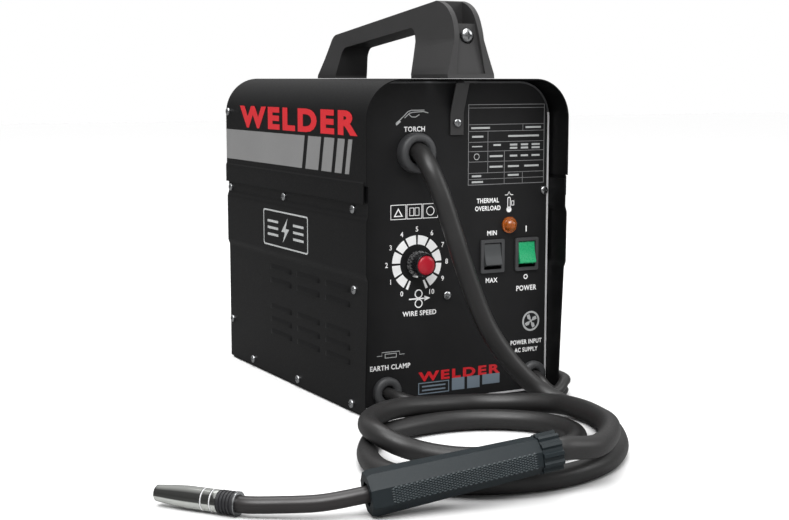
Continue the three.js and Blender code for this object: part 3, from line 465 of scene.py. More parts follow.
MATERIALS = {
    "case": surface("case_powder_coat", (0.0042, 0.0042, 0.0045), 0.46, grain=1100, bump=0.25, scuff=0.05,
                    specular=0.17),
    "panel": surface("panel_powder_coat", (0.0125, 0.0125, 0.013), 0.5, grain=1100, bump=0.25, scuff=0.05,
                     specular=0.16),
    "rim": surface("bare_rim", (0.8, 0.8, 0.81), 0.45, 0.4, grain=700, bump=0.08, mottle=0.06),
    "steel": surface("zinc_sheet", (0.48, 0.5, 0.52), 0.38, 1.0, grain=420, bump=0.12, mottle=0.1,
                     streak=(1, 6, 1), scuff=0.3),
    "zinc": surface("zinc_screws", (0.5, 0.51, 0.52), 0.24, 1.0, grain=900, bump=0.1, mottle=0.12),
    "handle": surface("handle_moulding", (0.031, 0.0305, 0.031), 0.46, grain=1600, bump=0.4, mottle=0.08,
                      scuff=0.1),
    "plastic": surface("dark_moulding", (0.045, 0.046, 0.048), 0.5, grain=1500, bump=0.3, mottle=0.08),
    "black": surface("black_moulding", (0.018, 0.018, 0.02), 0.4, grain=1400, bump=0.25, mottle=0.1),
    "gloss": surface("glossy_moulding", (0.008, 0.008, 0.009), 0.22, grain=900, bump=0.1, mottle=0.1,
                     coat=0.4),
    "rubber": surface("cable_rubber", (0.0185, 0.018, 0.018), 0.4, grain=700, bump=0.25, depth=0.00005,
                      mottle=0.12, scuff=0.08, specular=0.45),
    "torch": surface("torch_moulding", (0.0105, 0.0155, 0.0182), 0.5, grain=1500, bump=0.3, mottle=0.08,
                     scuff=0.1, specular=0.25),
    "knurl": surface("worn_knurl", (0.024, 0.033, 0.037), 0.45, grain=900, bump=0.1, mottle=0.15),
    "neck": surface("neck_sleeve", (0.02, 0.018, 0.018), 0.32, 0.1, grain=600, bump=0.12, mottle=0.1),
    "chrome": surface("nozzle_chrome", (0.82, 0.84, 0.8), 0.08, 0.5, grain=500, bump=0.03, mottle=0.05),
    "copper": surface("bare_copper", (0.66, 0.3, 0.16), 0.3, 1.0, grain=400, bump=0.15, mottle=0.15),
    "brass": surface("bare_brass", (0.66, 0.48, 0.2), 0.3, 1.0, grain=400, bump=0.12, mottle=0.12),
    "wire": surface("wound_wire", (0.6, 0.36, 0.22), 0.32, 1.0, grain=60, bump=0.9, depth=0.0004,
                    streak=(25, 1, 1)),
    "red": surface("red_plastic", (0.38, 0.005, 0.018), 0.34, grain=900, bump=0.08, mottle=0.05, coat=0.2),
    "green": surface("green_plastic", (0.012, 0.33, 0.13), 0.28, grain=900, bump=0.06, mottle=0.05, coat=0.3),
    "grey_rocker": surface("grey_rocker", (0.05, 0.053, 0.055), 0.35, grain=1200, bump=0.15, mottle=0.06),
    "amber": surface("amber_lens", (0.62, 0.15, 0.015), 0.1, grain=160, bump=0.5, depth=0.0002,
                     mottle=0.35, coat=0.8, transmission=0.5),
    "iron": surface("laminations", (0.09, 0.1, 0.11), 0.5, 0.7, grain=300, bump=0.7, depth=0.0002,
                    streak=(0.2, 12, 0.2)),
    "board": surface("circuit_board", (0.012, 0.09, 0.045), 0.4, grain=200, bump=0.3, mottle=0.25),
    "aluminium": surface("extruded_aluminium", (0.56, 0.57, 0.59), 0.34, 1.0, grain=300, bump=0.15,
                         streak=(1, 1, 0.1)),
    "ink_white": ink("white_ink", (0.85, 0.85, 0.85), 0.5, 0.06),
    "ink_faint": ink("faint_ink", (0.2, 0.2, 0.205), 0.5, 0.12),
    "ink_grey": ink("grey_vinyl", (0.193, 0.193, 0.193), 0.45, 0.04),
    "ink_pale": ink("pale_vinyl", (0.4, 0.41, 0.41), 0.45, 0.05),
    "ink_red": ink("red_vinyl", (0.56, 0.006, 0.013), 0.45, 0.04),
    "ink_slate": ink("slate_ink", (0.15, 0.19, 0.23), 0.5, 0.06),
}


def flag_reflections(material):
    """Darkens the band of a bright metal that would mirror black studio flags near the horizon."""
    tree = material.node_tree
    shader = tree.nodes["Principled BSDF"]
    tint = shader.inputs["Base Color"].links[0].from_socket
    geometry = add_node(tree, "ShaderNodeNewGeometry")
    split = add_node(tree, "ShaderNodeSeparateXYZ")
    tree.links.new(geometry.outputs["Normal"], split.inputs["Vector"])
    height = remap(tree, split.outputs["Z"], (-1, 1), (0, 1))
    bands = add_node(tree, "ShaderNodeValToRGB")
    stops = ((0.0, 0.4), (0.2, 0.7), (0.42, 0.75), (0.47, 0.06), (0.82, 0.04), (0.93, 0.3), (1.0, 0.4))
    ramp = bands.color_ramp
    for i, (place, value) in enumerate(stops):
        stop = ramp.elements[i] if i < 2 else ramp.elements.new(place)
        stop.position = place
        stop.color = (value, value, value, 1)
    tree.links.new(height, bands.inputs["Fac"])
    shade = add_node(tree, "ShaderNodeVectorMath", operation="MULTIPLY")
    tree.links.new(tint, shade.inputs[0])
    tree.links.new(bands.outputs["Color"], shade.inputs[1])
    tree.links.new(shade.outputs["Vector"], shader.inputs["Base Color"])


flag_reflections(MATERIALS["chrome"])


# ---- printed markings: thin raised shapes on a face ----

INK = 0.12
INK_BACK = -0.05
# Degrees, anticlockwise from +X: the dial's 0, the step to the next number and the gap round a number's mark.
DIAL_ZERO = 240
DIAL_STEP = 30
DIAL_GAP = 2.6


def on_front(mesh):
    """Stands a drawing made in the (x, y) plane on the control panel, its y pointing up."""
    verts, faces = mesh
    return [(x, PANEL_FACE - z, y) for x, y, z in verts], faces


def on_left(mesh, face):
    """Stands a drawing on the left of the case; its x is the distance towards the front."""
    verts, faces = mesh
    return [(-face - z, -x, y) for x, y, z in verts], faces


def patch(outline, holes=()):
    return slab("z", outline, INK_BACK, INK, holes)


def frame_line(a0, a1, b0, b1, width, radius=0.0):
    if radius:
        return patch(round_box(a0, a1, b0, b1, radius, steps=6),
                     [round_box(a0 + width, a1 - width, b0 + width, b1 - width, radius - width / 2, steps=6)])
    return patch(box(a0, a1, b0, b1), [box(a0 + width, a1 - width, b0 + width, b1 - width)])


def stroke(points, width):
    """A line of even width through the points, as one flat strip."""
    left, right = [], []
    for i, point in enumerate(points):
        ahead = Vector(points[min(i + 1, len(points) - 1)]) - Vector(points[max(i - 1, 0)])
        normal = Vector((-ahead.y, ahead.x)).normalized() * width / 2
        left.append(tuple(Vector(point) + normal))
        right.append(tuple(Vector(point) - normal))
    return patch(left + right[::-1])


def lettering(text, centre, height, width=None, weight=0.022, spacing=1.1):
    curve = bpy.data.curves.new("lettering", "FONT")
    curve.body = text
    curve.offset = weight
    curve.space_character = spacing
    curve.resolution_u = 4
    curve.extrude = 0.01
    obj = linked("lettering", curve)
    mesh = evaluated_mesh(obj)
    verts = [tuple(v.co) for v in mesh.vertices]
    faces = [tuple(p.vertices) for p in mesh.polygons]
    bpy.data.objects.remove(obj)
    xs, ys = [v[0] for v in verts], [v[1] for v in verts]
    across, tall = max(xs) - min(xs), max(ys) - min(ys)
    scale_y = height / tall
    scale_x = width / across if width else scale_y * 0.95
    mid_x, mid_y = (max(xs) + min(xs)) / 2, (max(ys) + min(ys)) / 2
    return [
        (centre[0] + (x - mid_x) * scale_x, centre[1] + (y - mid_y) * scale_y, INK if z > 0 else INK_BACK)
        for x, y, z in verts
    ], faces


def dial_scale():
    """One broad arc between neighbouring numbers, with a short one beyond each end."""
    shapes = []
    x, z = DIAL
    between = [DIAL_ZERO - DIAL_STEP * i for i in range(11)]
    spans = [(start - DIAL_GAP, end + DIAL_GAP) for start, end in zip(between, between[1:])]
    for start, end in [(between[0] + 9, between[0] + 3.2), *spans, (between[-1] - 3.2, between[-1] - 9)]:
        outline = arc(x, z, 25.4, start, end, 10) + arc(x, z, 17.2, end, start, 10)
        shapes.append(patch(outline))
    return merged(*shapes)


def dial_numbers():
    x, z = DIAL
    shapes = []
    for i in range(11):
        t = math.radians(DIAL_ZERO - DIAL_STEP * i)
        shapes.append(lettering(str(i), (x + 31 * math.cos(t), z + 31 * math.sin(t)), 4.6, weight=0.01))
    return merged(*shapes)


def feed_symbol():
    x, z = -38.4, 99.4
    rings = [patch(circle(x, z + s * 4.4, 4.1, 32), [circle(x, z + s * 4.4, 3.1, 32)]) for s in (-1, 1)]
    shaft = patch(box(x - 10, x + 7, z - 0.6, z + 0.6))
    head = patch([(x + 6, z - 2.4), (x + 12, z), (x + 6, z + 2.4)])
    return merged(*rings, shaft, head)


def torch_symbol():
    body = stroke([(-53, 262.5), (-48.5, 266.5), (-45, 267.5), (-34, 268), (-29, 266.8)], 0.7)
    neck = stroke([(-62, 257.8), (-57, 261.5), (-53, 265), (-49.5, 268.2), (-46, 269.3), (-33, 269.3)], 0.7)
    lever = stroke([(-49, 266), (-46, 263.4), (-42, 263.2), (-38, 265.4)], 0.7)
    tip = stroke([(-61.5, 256.6), (-57.3, 259.8)], 1.6)
    return merged(body, neck, lever, tip)


def thermometer_symbol():
    x = 57.6
    tube_line = frame_line(x - 1.7, x + 1.7, 177, 188, 0.6, 1.5)
    bulb = patch(circle(x, 176.4, 2.7, 24))
    zigzag = stroke([(x - 4.5, 190), (x - 1.8, 190), (x, 192.8), (x + 1.8, 190), (x + 4.5, 190)], 0.6)
    box_line = frame_line(x + 2.6, x + 5.6, 180, 184.4, 0.5)
    return merged(tube_line, bulb, zigzag, box_line)


def fan_symbol():
    x, z = 83.5, 69
    ring = patch(circle(x, z, 9.6, 48), [circle(x, z, 7.8, 48)])
    blades = []
    for i in range(4):
        t = math.radians(i * 90 + 20)
        points = [(0.8, 0), (3.2, 2.6), (6.6, 2.4), (6.9, -0.6), (3.6, -0.8)]
        blades.append(patch([
            (x + a * math.cos(t) - b * math.sin(t), z + a * math.sin(t) + b * math.cos(t)) for a, b in points
        ]))
    return merged(ring, patch(circle(x, z, 1.3, 16)), *blades)


def rating_plate():
    """A ruled table with plain bars where a real plate has its figures."""
    left, right = 12.9, 96
    lines = [frame_line(left, right, 200.2, 273.9, 0.55)]
    for z in (270.6, 255.5, 249.4, 239.5, 231, 221.5, 211.2, 205.6):
        lines.append(patch(box(left, right, z - 0.22, z + 0.22)))
    for x, low, high in ((34, 211.2, 249.4), (52, 200.2, 231), (72, 200.2, 211.2), (72, 249.4, 255.5)):
        lines.append(patch(box(x - 0.22, x + 0.22, low, high)))
    bars = []
    for z, spans in (
        (252.4, ((16, 36), (75, 92))),
        (244.5, ((17, 29), (56, 90))),
        (236.5, ((40, 48), (58, 66), (70, 78), (82, 91))),
        (233.5, ((58, 66), (70, 78), (82, 91))),
        (226.3, ((36, 50), (58, 66), (70, 78), (82, 91))),
        (216.6, ((36, 50), (56, 68), (74, 90))),
        (208.4, ((17, 27), (56, 68))),
        (203, ((17, 29),)),
    ):
        for a, b in spans:
            bars.append(patch(box(a, b, z - 0.85, z + 0.85)))
    bars.append(patch(circle(22, 226.2, 3, 24), [circle(22, 226.2, 2.4, 24)]))
    bars.append(patch(box(17, 28, 235, 236)))
    return merged(*lines), merged(*bars)


def front_markings():
    white = merged(
        dial_scale(),
        dial_numbers(),
        feed_symbol(),
        thermometer_symbol(),
        lettering("TORCH", (-43, 252.6), 4.6),
        lettering("WIRE SPEED", (-37.5, 86.2), 4.6, 35),
        lettering("MIN", (39.3, 155.2), 4.4),
        lettering("MAX", (39.3, 111), 4.4),
        lettering("I", (77, 157.5), 5.6, weight=0.03),
        lettering("O", (77, 112), 4.8, weight=0.03),
        lettering("POWER", (78, 101.3), 5, 22.5),
        lettering("THERMAL", (34.5, 185.6), 4.4, 24),
        lettering("OVERLOAD", (34.5, 178.4), 4.4, 27.5),
        lettering("EARTH CLAMP", (-67.5, 39), 4.6, 41),
        lettering("POWER INPUT", (78.5, 49.5), 4.4, 35),
        lettering("AC SUPPLY", (78.5, 42), 4.2, 26),
        *[frame_line(-67.2 + i * 16.4, -51.4 + i * 16.4, 172.2, 185.6, 0.6) for i in range(3)],
        patch([(-59.3, 182.6), (-64, 174.8), (-54.6, 174.8)],
              [[(-59.3, 180.6), (-62.3, 175.7), (-56.3, 175.7)]]),
        frame_line(-48, -43.3, 175, 182.4, 0.55),
        frame_line(-42.6, -37.9, 175, 182.4, 0.55),
        patch(circle(-26.5, 178.8, 4.2, 28), [circle(-26.5, 178.8, 3.5, 28)]),
    )
    piece("panel_lettering", on_front(white), "ink_white")
    lines, bars = rating_plate()
    piece("plate_lines", on_front(lines), "ink_faint")
    faint = merged(
        bars,
        torch_symbol(),
        fan_symbol(),
        stroke([(-81, 50), (-76, 50), (-76, 53), (-58, 53), (-58, 50), (-53, 50)], 0.6),
        frame_line(-73, -61, 47.5, 51.6, 0.6),
    )
    piece("panel_symbols", on_front(faint), "ink_pale")
    word = lettering("WELDER", (5.5, 26.7), 8.8, 88, weight=0.04, spacing=1.25)
    piece("panel_word", on_front(word), "ink_red")
    slate = merged(
        frame_line(-38.6, -6, 10.3, 21.2, 0.9),
        *[patch(box(-34.6, -10, z, z + 1.4)) for z in (13.2, 16.8)],
        *[patch(box(a, a + 13.5, 11, 22.4)) for a in (-3, 13.5)],
        patch(box(30, 49, 13, 22.4)),
    )
    piece("panel_blocks", on_front(slate), "ink_slate")


def side_markings():
    word = lettering("WELDER", (8, 258.6), 22, 270, weight=0.05, spacing=1.25)
    piece("side_word", on_left(word, CASE_HALF), "ink_red", body="wire_cover")
    low, high = 213.8, 244.5
    bars = [patch([(a, low), (a + w, low), (a + w + 7, high), (a + 7, high)])
            for a, w in ((34, 28), (69, 21), (97, 14), (118, 8))]
    rear = -CASE_BACK + 0.4
    stripe = merged(patch([(rear, low), (26, low), (33, high), (rear, high)]), *bars)
    piece("side_stripe", on_left(stripe, CASE_HALF), "ink_grey", body="wire_cover")
    outline = frame_line(-68.5, 38, 132.6, 168.6, 1.5, 3)
    bolt = patch([(-9, 163), (-24, 148.8), (-15.6, 148.8), (-21, 138), (-5.4, 152.4), (-14, 152.4)])
    rules = [patch(box(a, b, z, z + 2.4)) for z in (156, 149.4, 142.8) for a, b in ((-58, -32), (4, 28))]
    piece("side_badge", on_left(merged(outline, bolt, *rules), PAD_FACE), "ink_pale")


# ---- case ----

def cover_path(edge):
    return (
        [(edge, CASE_HEIGHT)]
        + arc(CASE_HALF - CORNER_R, CASE_HEIGHT - CORNER_R, CORNER_R, 90, 0, 28)
        + rounded([(CASE_HALF, 212), (CASE_HALF, 208.8), (CASE_HALF + 1, 207.2), (CASE_HALF + 1, 204)],
                  [0, 0.9, 0.9, 0], 4)
        + [(CASE_HALF + 1, COVER_BOTTOM)]
    )


def knuckles(indices, leaf_boxes):
    meshes = []
    barrel, bore = [circle(HINGE_X, HINGE_Z, r, 24) for r in (2.2, 1.55)]
    for i in indices:
        low = KNUCKLE_FIRST + i * KNUCKLE_PITCH
        high = low + KNUCKLE_LENGTH
        meshes.append(slab("y", barrel, low, high, [bore]))
        meshes += [slab("y", outline, low, high) for outline in leaf_boxes]
    return merged(*meshes)


def cover_sheet(name, mesh, body, node, cutters):
    sheet = new_object(name, mesh)
    carve(sheet, *cutters)
    bevelled(sheet, 0.3)
    dressed(sheet, "case", body, [node])


def build_covers():
    fixed = slab("y", sheet_along(cover_path(HINGE_X + 3.2), SHEET), CASE_FRONT, CASE_BACK)
    end = HINGE_X + 5.5
    fixed_leaf = [box(HINGE_X + 1.9, end, 292.3, 293.3), box(HINGE_X + 4.3, end, 292.3, 296.4)]
    cover_sheet("top_cover_sheet", fixed, "machine", "top_cover", [block(100, 108, -160, -155.2, 180, 208.6)])
    piece("top_cover_knuckles", knuckles([0, 2, 4], fixed_leaf), "case")
    outline = mirrored(sheet_along(cover_path(-HINGE_X + 2.6), SHEET))
    opening = slab("y", outline, CASE_FRONT, CASE_BACK)
    screw_hole = slab("x", circle(*COVER_SCREW, 2.6, 24), -CASE_HALF - 2, -CASE_HALF + 6)
    notch = block(-108, -100, -160, -155.2, 180, 208.6)
    cover_sheet("wire_cover_sheet", opening, "wire_cover", "wire_cover", [screw_hole, notch])
    moving_leaf = [box(HINGE_X - 4, HINGE_X - 1.6, 295.7, 296.6)]
    piece("wire_cover_knuckles", knuckles([1, 3], moving_leaf), "case", body="wire_cover")


def lean(z):
    """How far forward the front edge of a side panel reaches at a height."""
    return -151 - 7 * z / 125 if z < 125 else -158 - 0.8 * (z - 125) / 85


def thickened(obj, thickness):
    """Gives an open sheet its thickness, inwards, and keeps the shading of its flat parts flat."""
    modifier = obj.modifiers.new("thickness", "SOLIDIFY")
    modifier.thickness = thickness * MM
    modifier.offset = -1
    mesh = evaluated_mesh(obj)
    obj.modifiers.remove(modifier)
    obj.data = mesh
    smooth_by_angle(mesh, 30)
    weights = obj.modifiers.new("flat_faces", "WEIGHTED_NORMAL")
    weights.keep_sharp = True


def face_outwards(obj, side):
    if sum(p.normal.x * p.area for p in obj.data.polygons) * side < 0:
        obj.data.flip_normals()


def side_panel(name, side, node):
    """A pressed side sheet as a grid with openings at the louvres, thickened inwards, with louvre hoods."""
    profile = rounded(
        [(SIDE_FACE, 2), (SIDE_FACE, 122.8), (PAD_FACE, 126.8), (PAD_FACE, 174.8), (SIDE_FACE, 178.8),
         (SIDE_FACE, 205)],
        [0, 2.1, 2.1, 2.1, 2.1, 0], 4)
    for z in LOUVRE_ROWS:
        profile += [(SIDE_FACE, z - 1.6), (SIDE_FACE, z + 2.6)]
    profile = sorted(profile, key=lambda p: p[1])
    stops = [LOUVRE_FIRST + i * LOUVRE_PITCH + e for i in range(3) for e in (1.5, LOUVRE_LENGTH - 1.5)]
    columns = [None] + stops + [CASE_BACK - 0.2]
    verts = []
    for face, z in profile:
        for column in columns:
            verts.append((side * face, lean(z) if column is None else column, z))
    width = len(columns)
    openings = {(z - 1.6, i) for z in LOUVRE_ROWS for i in (1, 3, 5)}
    faces = []
    for row in range(len(profile) - 1):
        for column in range(width - 1):
            if (profile[row][1], column) in openings:
                continue
            first = row * width + column
            faces.append((first, first + 1, first + 1 + width, first + width))
    if side > 0:
        faces = [face[::-1] for face in faces]
    obj = new_object(name, (verts, faces))
    face_outwards(obj, side)
    thickened(obj, SHEET)
    dressed(obj, "case", nodes=[node])
    hoods = [louvre_hood(side, LOUVRE_FIRST + i * LOUVRE_PITCH, z) for z in LOUVRE_ROWS for i in range(3)]
    shell = new_object(name + "_louvres", merged(*hoods), smooth=60)
    face_outwards(shell, side)
    thickened(shell, 0.7)
    dressed(shell, "case")


def louvre_hood(side, start, z):
    across, down = 28, 8
    verts = []
    for i in range(across + 1):
        u = i / across
        end = math.sqrt(max(1 - abs(2 * u - 1) ** 7, 0))
        for k in range(down + 1):
            v = k / down
            rise = math.sin(min(v * 1.15, 1) * math.pi / 2) ** 1.4
            height = z + 4.6 - v * 6.0
            verts.append((side * (SIDE_FACE - 0.05 + 1.35 * rise * end), start + u * LOUVRE_LENGTH, height))
    faces = []
    for i in range(across):
        for k in range(down):
            first = i * (down + 1) + k
            faces.append((first, first + down + 1, first + down + 2, first + 1))
    return verts, faces


def panel_outline(inset):
    return round_box(-101 + inset, 101 - inset, 2.2 + inset, 294.7 - inset, 33 - inset, max(8 - inset, 1), 16)


# The panel's rim is bare metal below this height. Above it the rim is dark: painted shade, a dark moulding
# colour standing for the shadow of the top cover's overhang.
RIM_SHADE_LINE = 266


def build_end_panels():
    holes = [
        circle(*BUSH, 15),
        circle(*DIAL, 5, 32),
        circle(*LAMP, 6, 32),
        *[box(x - 11.2, x + 11.2, z - 13.6, z + 13.6) for x, z in (RANGE_SWITCH, POWER_SWITCH)],
        circle(*EARTH_GROMMET, 10.5, 40),
        circle(*MAINS_GROMMET, 9.5, 40),
        *[circle(*spot, 2.3, 20) for spot in (*PANEL_SCREWS, STRAP_SCREW)],
    ]
    plate = slab("y", panel_outline(1.6), PANEL_FACE, PANEL_FACE + 1.5, holes)
    piece("front_panel_plate", plate, "panel", nodes=["front_panel"])
    flange = slab("y", panel_outline(0.1), PANEL_FACE + 0.6, PANEL_FACE + TRAY_DEPTH, [panel_outline(1.5)])
    piece("front_panel_flange", flange, "panel", bevel=0.3)
    ring = slab("y", panel_outline(0), PANEL_FACE - 0.5, PANEL_FACE + 0.5, [panel_outline(1.7)])
    # The strip above the line is painted shade: the dark moulding colour stands for the top cover's shadow on
    # the bare rim.
    for name, material, cut in (
        ("front_panel_rim", "rim", (RIM_SHADE_LINE, 300)),
        ("front_panel_rim_painted_shade", "plastic", (0, RIM_SHADE_LINE)),
    ):
        part = new_object("part", ring)
        carve(part, block(-110, 110, PANEL_FACE - 2, PANEL_FACE + 2, *cut))
        piece(name, mesh_of(part), material, bevel=0.2)

    slots = []
    for i in range(-4, 5):
        z = FAN[1] + i * GRILLE_PITCH
        half = math.sqrt(GRILLE_R ** 2 - (i * GRILLE_PITCH) ** 2) - 3
        for low, high in ((-half, -2), (2, half)):
            slots.append(round_box(FAN[0] + low, FAN[0] + high, z - 1.8, z + 1.8, 1.7, steps=5))
    back = slab("y", panel_outline(0.6), BACK_FACE - 1.5, BACK_FACE, slots)
    piece("rear_panel_plate", back, "case", nodes=["rear_panel"])
    flange = slab("y", panel_outline(0), BACK_FACE - TRAY_DEPTH, BACK_FACE - 0.4, [panel_outline(1.5)])
    piece("rear_panel_flange", flange, "case", bevel=0.3)


def screw_mesh(radius=4.0, rise=2.5):
    """A pan-head screw with a cross recess, its head towards -z."""
    dome = [(0, -rise)] + [(radius * math.sin(t), -rise * (0.35 + 0.65 * math.cos(t)))
                           for t in [math.radians(a) for a in (15, 30, 45, 60, 75, 90)]]
    head = turned("z", (0, 0), dome + [(radius, 0), (0, 0)], 40)
    screw = new_object("screw", head)
    arms = [box(-0.45, 0.45, -radius * 0.56, radius * 0.56), box(-radius * 0.56, radius * 0.56, -0.45, 0.45)]
    carve(screw, *[slab("z", outline, -rise - 1, -rise * 0.45) for outline in arms])
    return mesh_of(screw)


def stood_screw(mesh, facing, spot):
    """Turns a screw so that its head faces a direction, and puts it at a point."""
    verts, faces = mesh
    turn = Vector((0, 0, -1)).rotation_difference(Vector(facing)).to_matrix()
    return [tuple(turn @ Vector(v) + Vector(spot)) for v in verts], faces


def build_screws():
    pan = screw_mesh()
    sides = ((20.6, 183.4), (-130, 183.4), (159.5, 183.4), (-132, 112), (103.8, 8), (-8.7, 8),
             (-125.8, 8), (159.5, 42.4))
    for i, (y, z) in enumerate(sides):
        for side, word in ((-1, "left"), (1, "right")):
            mesh = stood_screw(pan, (side, 0, 0), (side * (SIDE_FACE + 0.05), y, z))
            piece(f"{word}_screw_{i + 1}", mesh, "zinc")
    piece("cover_right_screw", stood_screw(pan, (1, 0, 0), (CASE_HALF + 0.1, *COVER_SCREW)), "zinc")
    for i, (x, z) in enumerate(((-80, 262), (80, 262), (-90, 150), (90, 150), (-80, 14), (80, 14))):
        piece(f"rear_screw_{i + 1}", stood_screw(pan, (0, 1, 0), (x, BACK_FACE + 0.1, z)), "zinc")
    shank = turned("x", COVER_SCREW, [(0, -CASE_HALF - 0.3), (2, -CASE_HALF - 0.3), (2, -CASE_HALF + 4.8),
                                       (0, -CASE_HALF + 4.8)], 24)
    head = stood_screw(pan, (-1, 0, 0), (-CASE_HALF - 0.2, *COVER_SCREW))
    fine("cover_screw", merged(head, shank), "zinc", "wire_cover")
    for node, spot, face in (
        ("panel_screw_left", PANEL_SCREWS[0], PANEL_FACE - 0.2),
        ("panel_screw_right", PANEL_SCREWS[1], PANEL_FACE - 0.2),
        ("strap_screw", STRAP_SCREW, -134.7),
    ):
        shank = turned("y", spot, [(0, face), (1.9, face), (1.9, face + 6), (0, face + 6)], 24)
        head = stood_screw(pan, (0, -1, 0), (spot[0], face, spot[1]))
        fine(node, merged(head, shank), "zinc")


# ---- carry handle ----

def handle_half(y, z):
    """Half the width of the handle at a place on its side view."""
    front = [(297, 24), (301, 24), (316, 19.5), (331, 15.2), (345, 14.4), (370, 14.4)]
    rear = [(297, 18), (301, 18), (318, 15.6), (333, 14.4), (370, 14.4)]
    table = front if y < -20 else rear
    for (z0, w0), (z1, w1) in zip(table, table[1:]):
        if z <= z1:
            return w0 + (w1 - w0) * (z - z0) / (z1 - z0)
    return table[-1][1]


def build_handle():
    bottom = CASE_HEIGHT + 0.3
    outer = rounded(
        [(-158.5, bottom), (-158, 300), (-151.5, 361.5), (-121, 366.6), (90, 341.3), (97, 336.5),
         (123.9, 299.5), (123.9, bottom)],
        [0, 1.5, (32, 29.5), 0.6, 4, 4, 1, 0], 16)
    opening = rounded(
        [(-91.5, bottom - 5), (-91.5, 299.5), (-81.5, 339), (-76, 344.2), (66, 328.2), (72.5, 322),
         (80.7, 299.5), (80.7, bottom - 5)],
        [0, 1, 3.5, 3.5, 4, 4, 1, 0], 8)
    body = new_object("handle_moulding", slab("x", outer, -1, 1))
    carve(body, slab("x", opening, -3, 3))
    mesh = body.data
    work = bmesh.new()
    work.from_mesh(mesh)
    for z in (301, 308, 316, 324, 331, 338, 345):
        parts = work.verts[:] + work.edges[:] + work.faces[:]
        bmesh.ops.bisect_plane(work, geom=parts, plane_co=(0, 0, z * MM), plane_no=(0, 0, 1))
    bmesh.ops.triangulate(work, faces=[f for f in work.faces if len(f.verts) > 4])
    work.to_mesh(mesh)
    work.free()
    for v in mesh.vertices:
        y, z = v.co.y / MM, v.co.z / MM
        v.co.x = math.copysign(handle_half(y, z) * MM, v.co.x)
    flare = [(15, 300), (10.5, 333), (9.5, 346), (9.5, 380)]
    channel = new_object("channel", slab("y", flare + mirrored(flare)[::-1], -175, -120))
    floor = [(-155.6, 290), (-155.6, 301.5), (-148, 345.5), (-126, 345.5), (-126, 390), (-100, 390),
             (-100, 290)]
    carve(channel, slab("x", floor, -30, 30), slab("x", box(-180, -100, 290, 301.5), -30, 30))
    recess = turned("y", HANDLE_BOLT, [(0, -160), (7.4, -160), (7.4, -149.1), (0, -149.1)], 40)
    carve(body, mesh_of(channel), recess)
    smooth_by_angle(body.data, 30)
    bevelled(body, 1.3, 3, 30)
    dressed(body, "handle", nodes=["handle"])

    head = [(0, -4.4), (2.6, -4.3), (4.6, -3.6), (6, -2.2), (6.4, -1), (6.4, 0), (2.7, 0), (2.7, 12), (0, 12)]
    bolt = new_object("handle_bolt_fine", turned("y", HANDLE_BOLT, [(r, h - 149.4) for r, h in head], 48))
    carve(bolt, *[slab("y", outline, -155.8, -151.6) for outline in
                  (box(-0.7, 0.7, 331.6, 338.4), box(-3.4, 3.4, 334.3, 335.7))])
    dressed(bolt, "zinc", nodes=["handle_bolt"])

    path = rounded([(-157, 295.2), (-143.4, 295.2), (-132.8, 267), (-132.8, 246.5)], [0, 4, 5, 0], 6)
    fine("handle_strap", slab("x", sheet_along(path, 1.6), -6.9, 6.9), "handle", bevel=0.35)


# ---- controls ----

def facing_panel(profile):
    return [(r, h + PANEL_FACE) for r, h in profile]


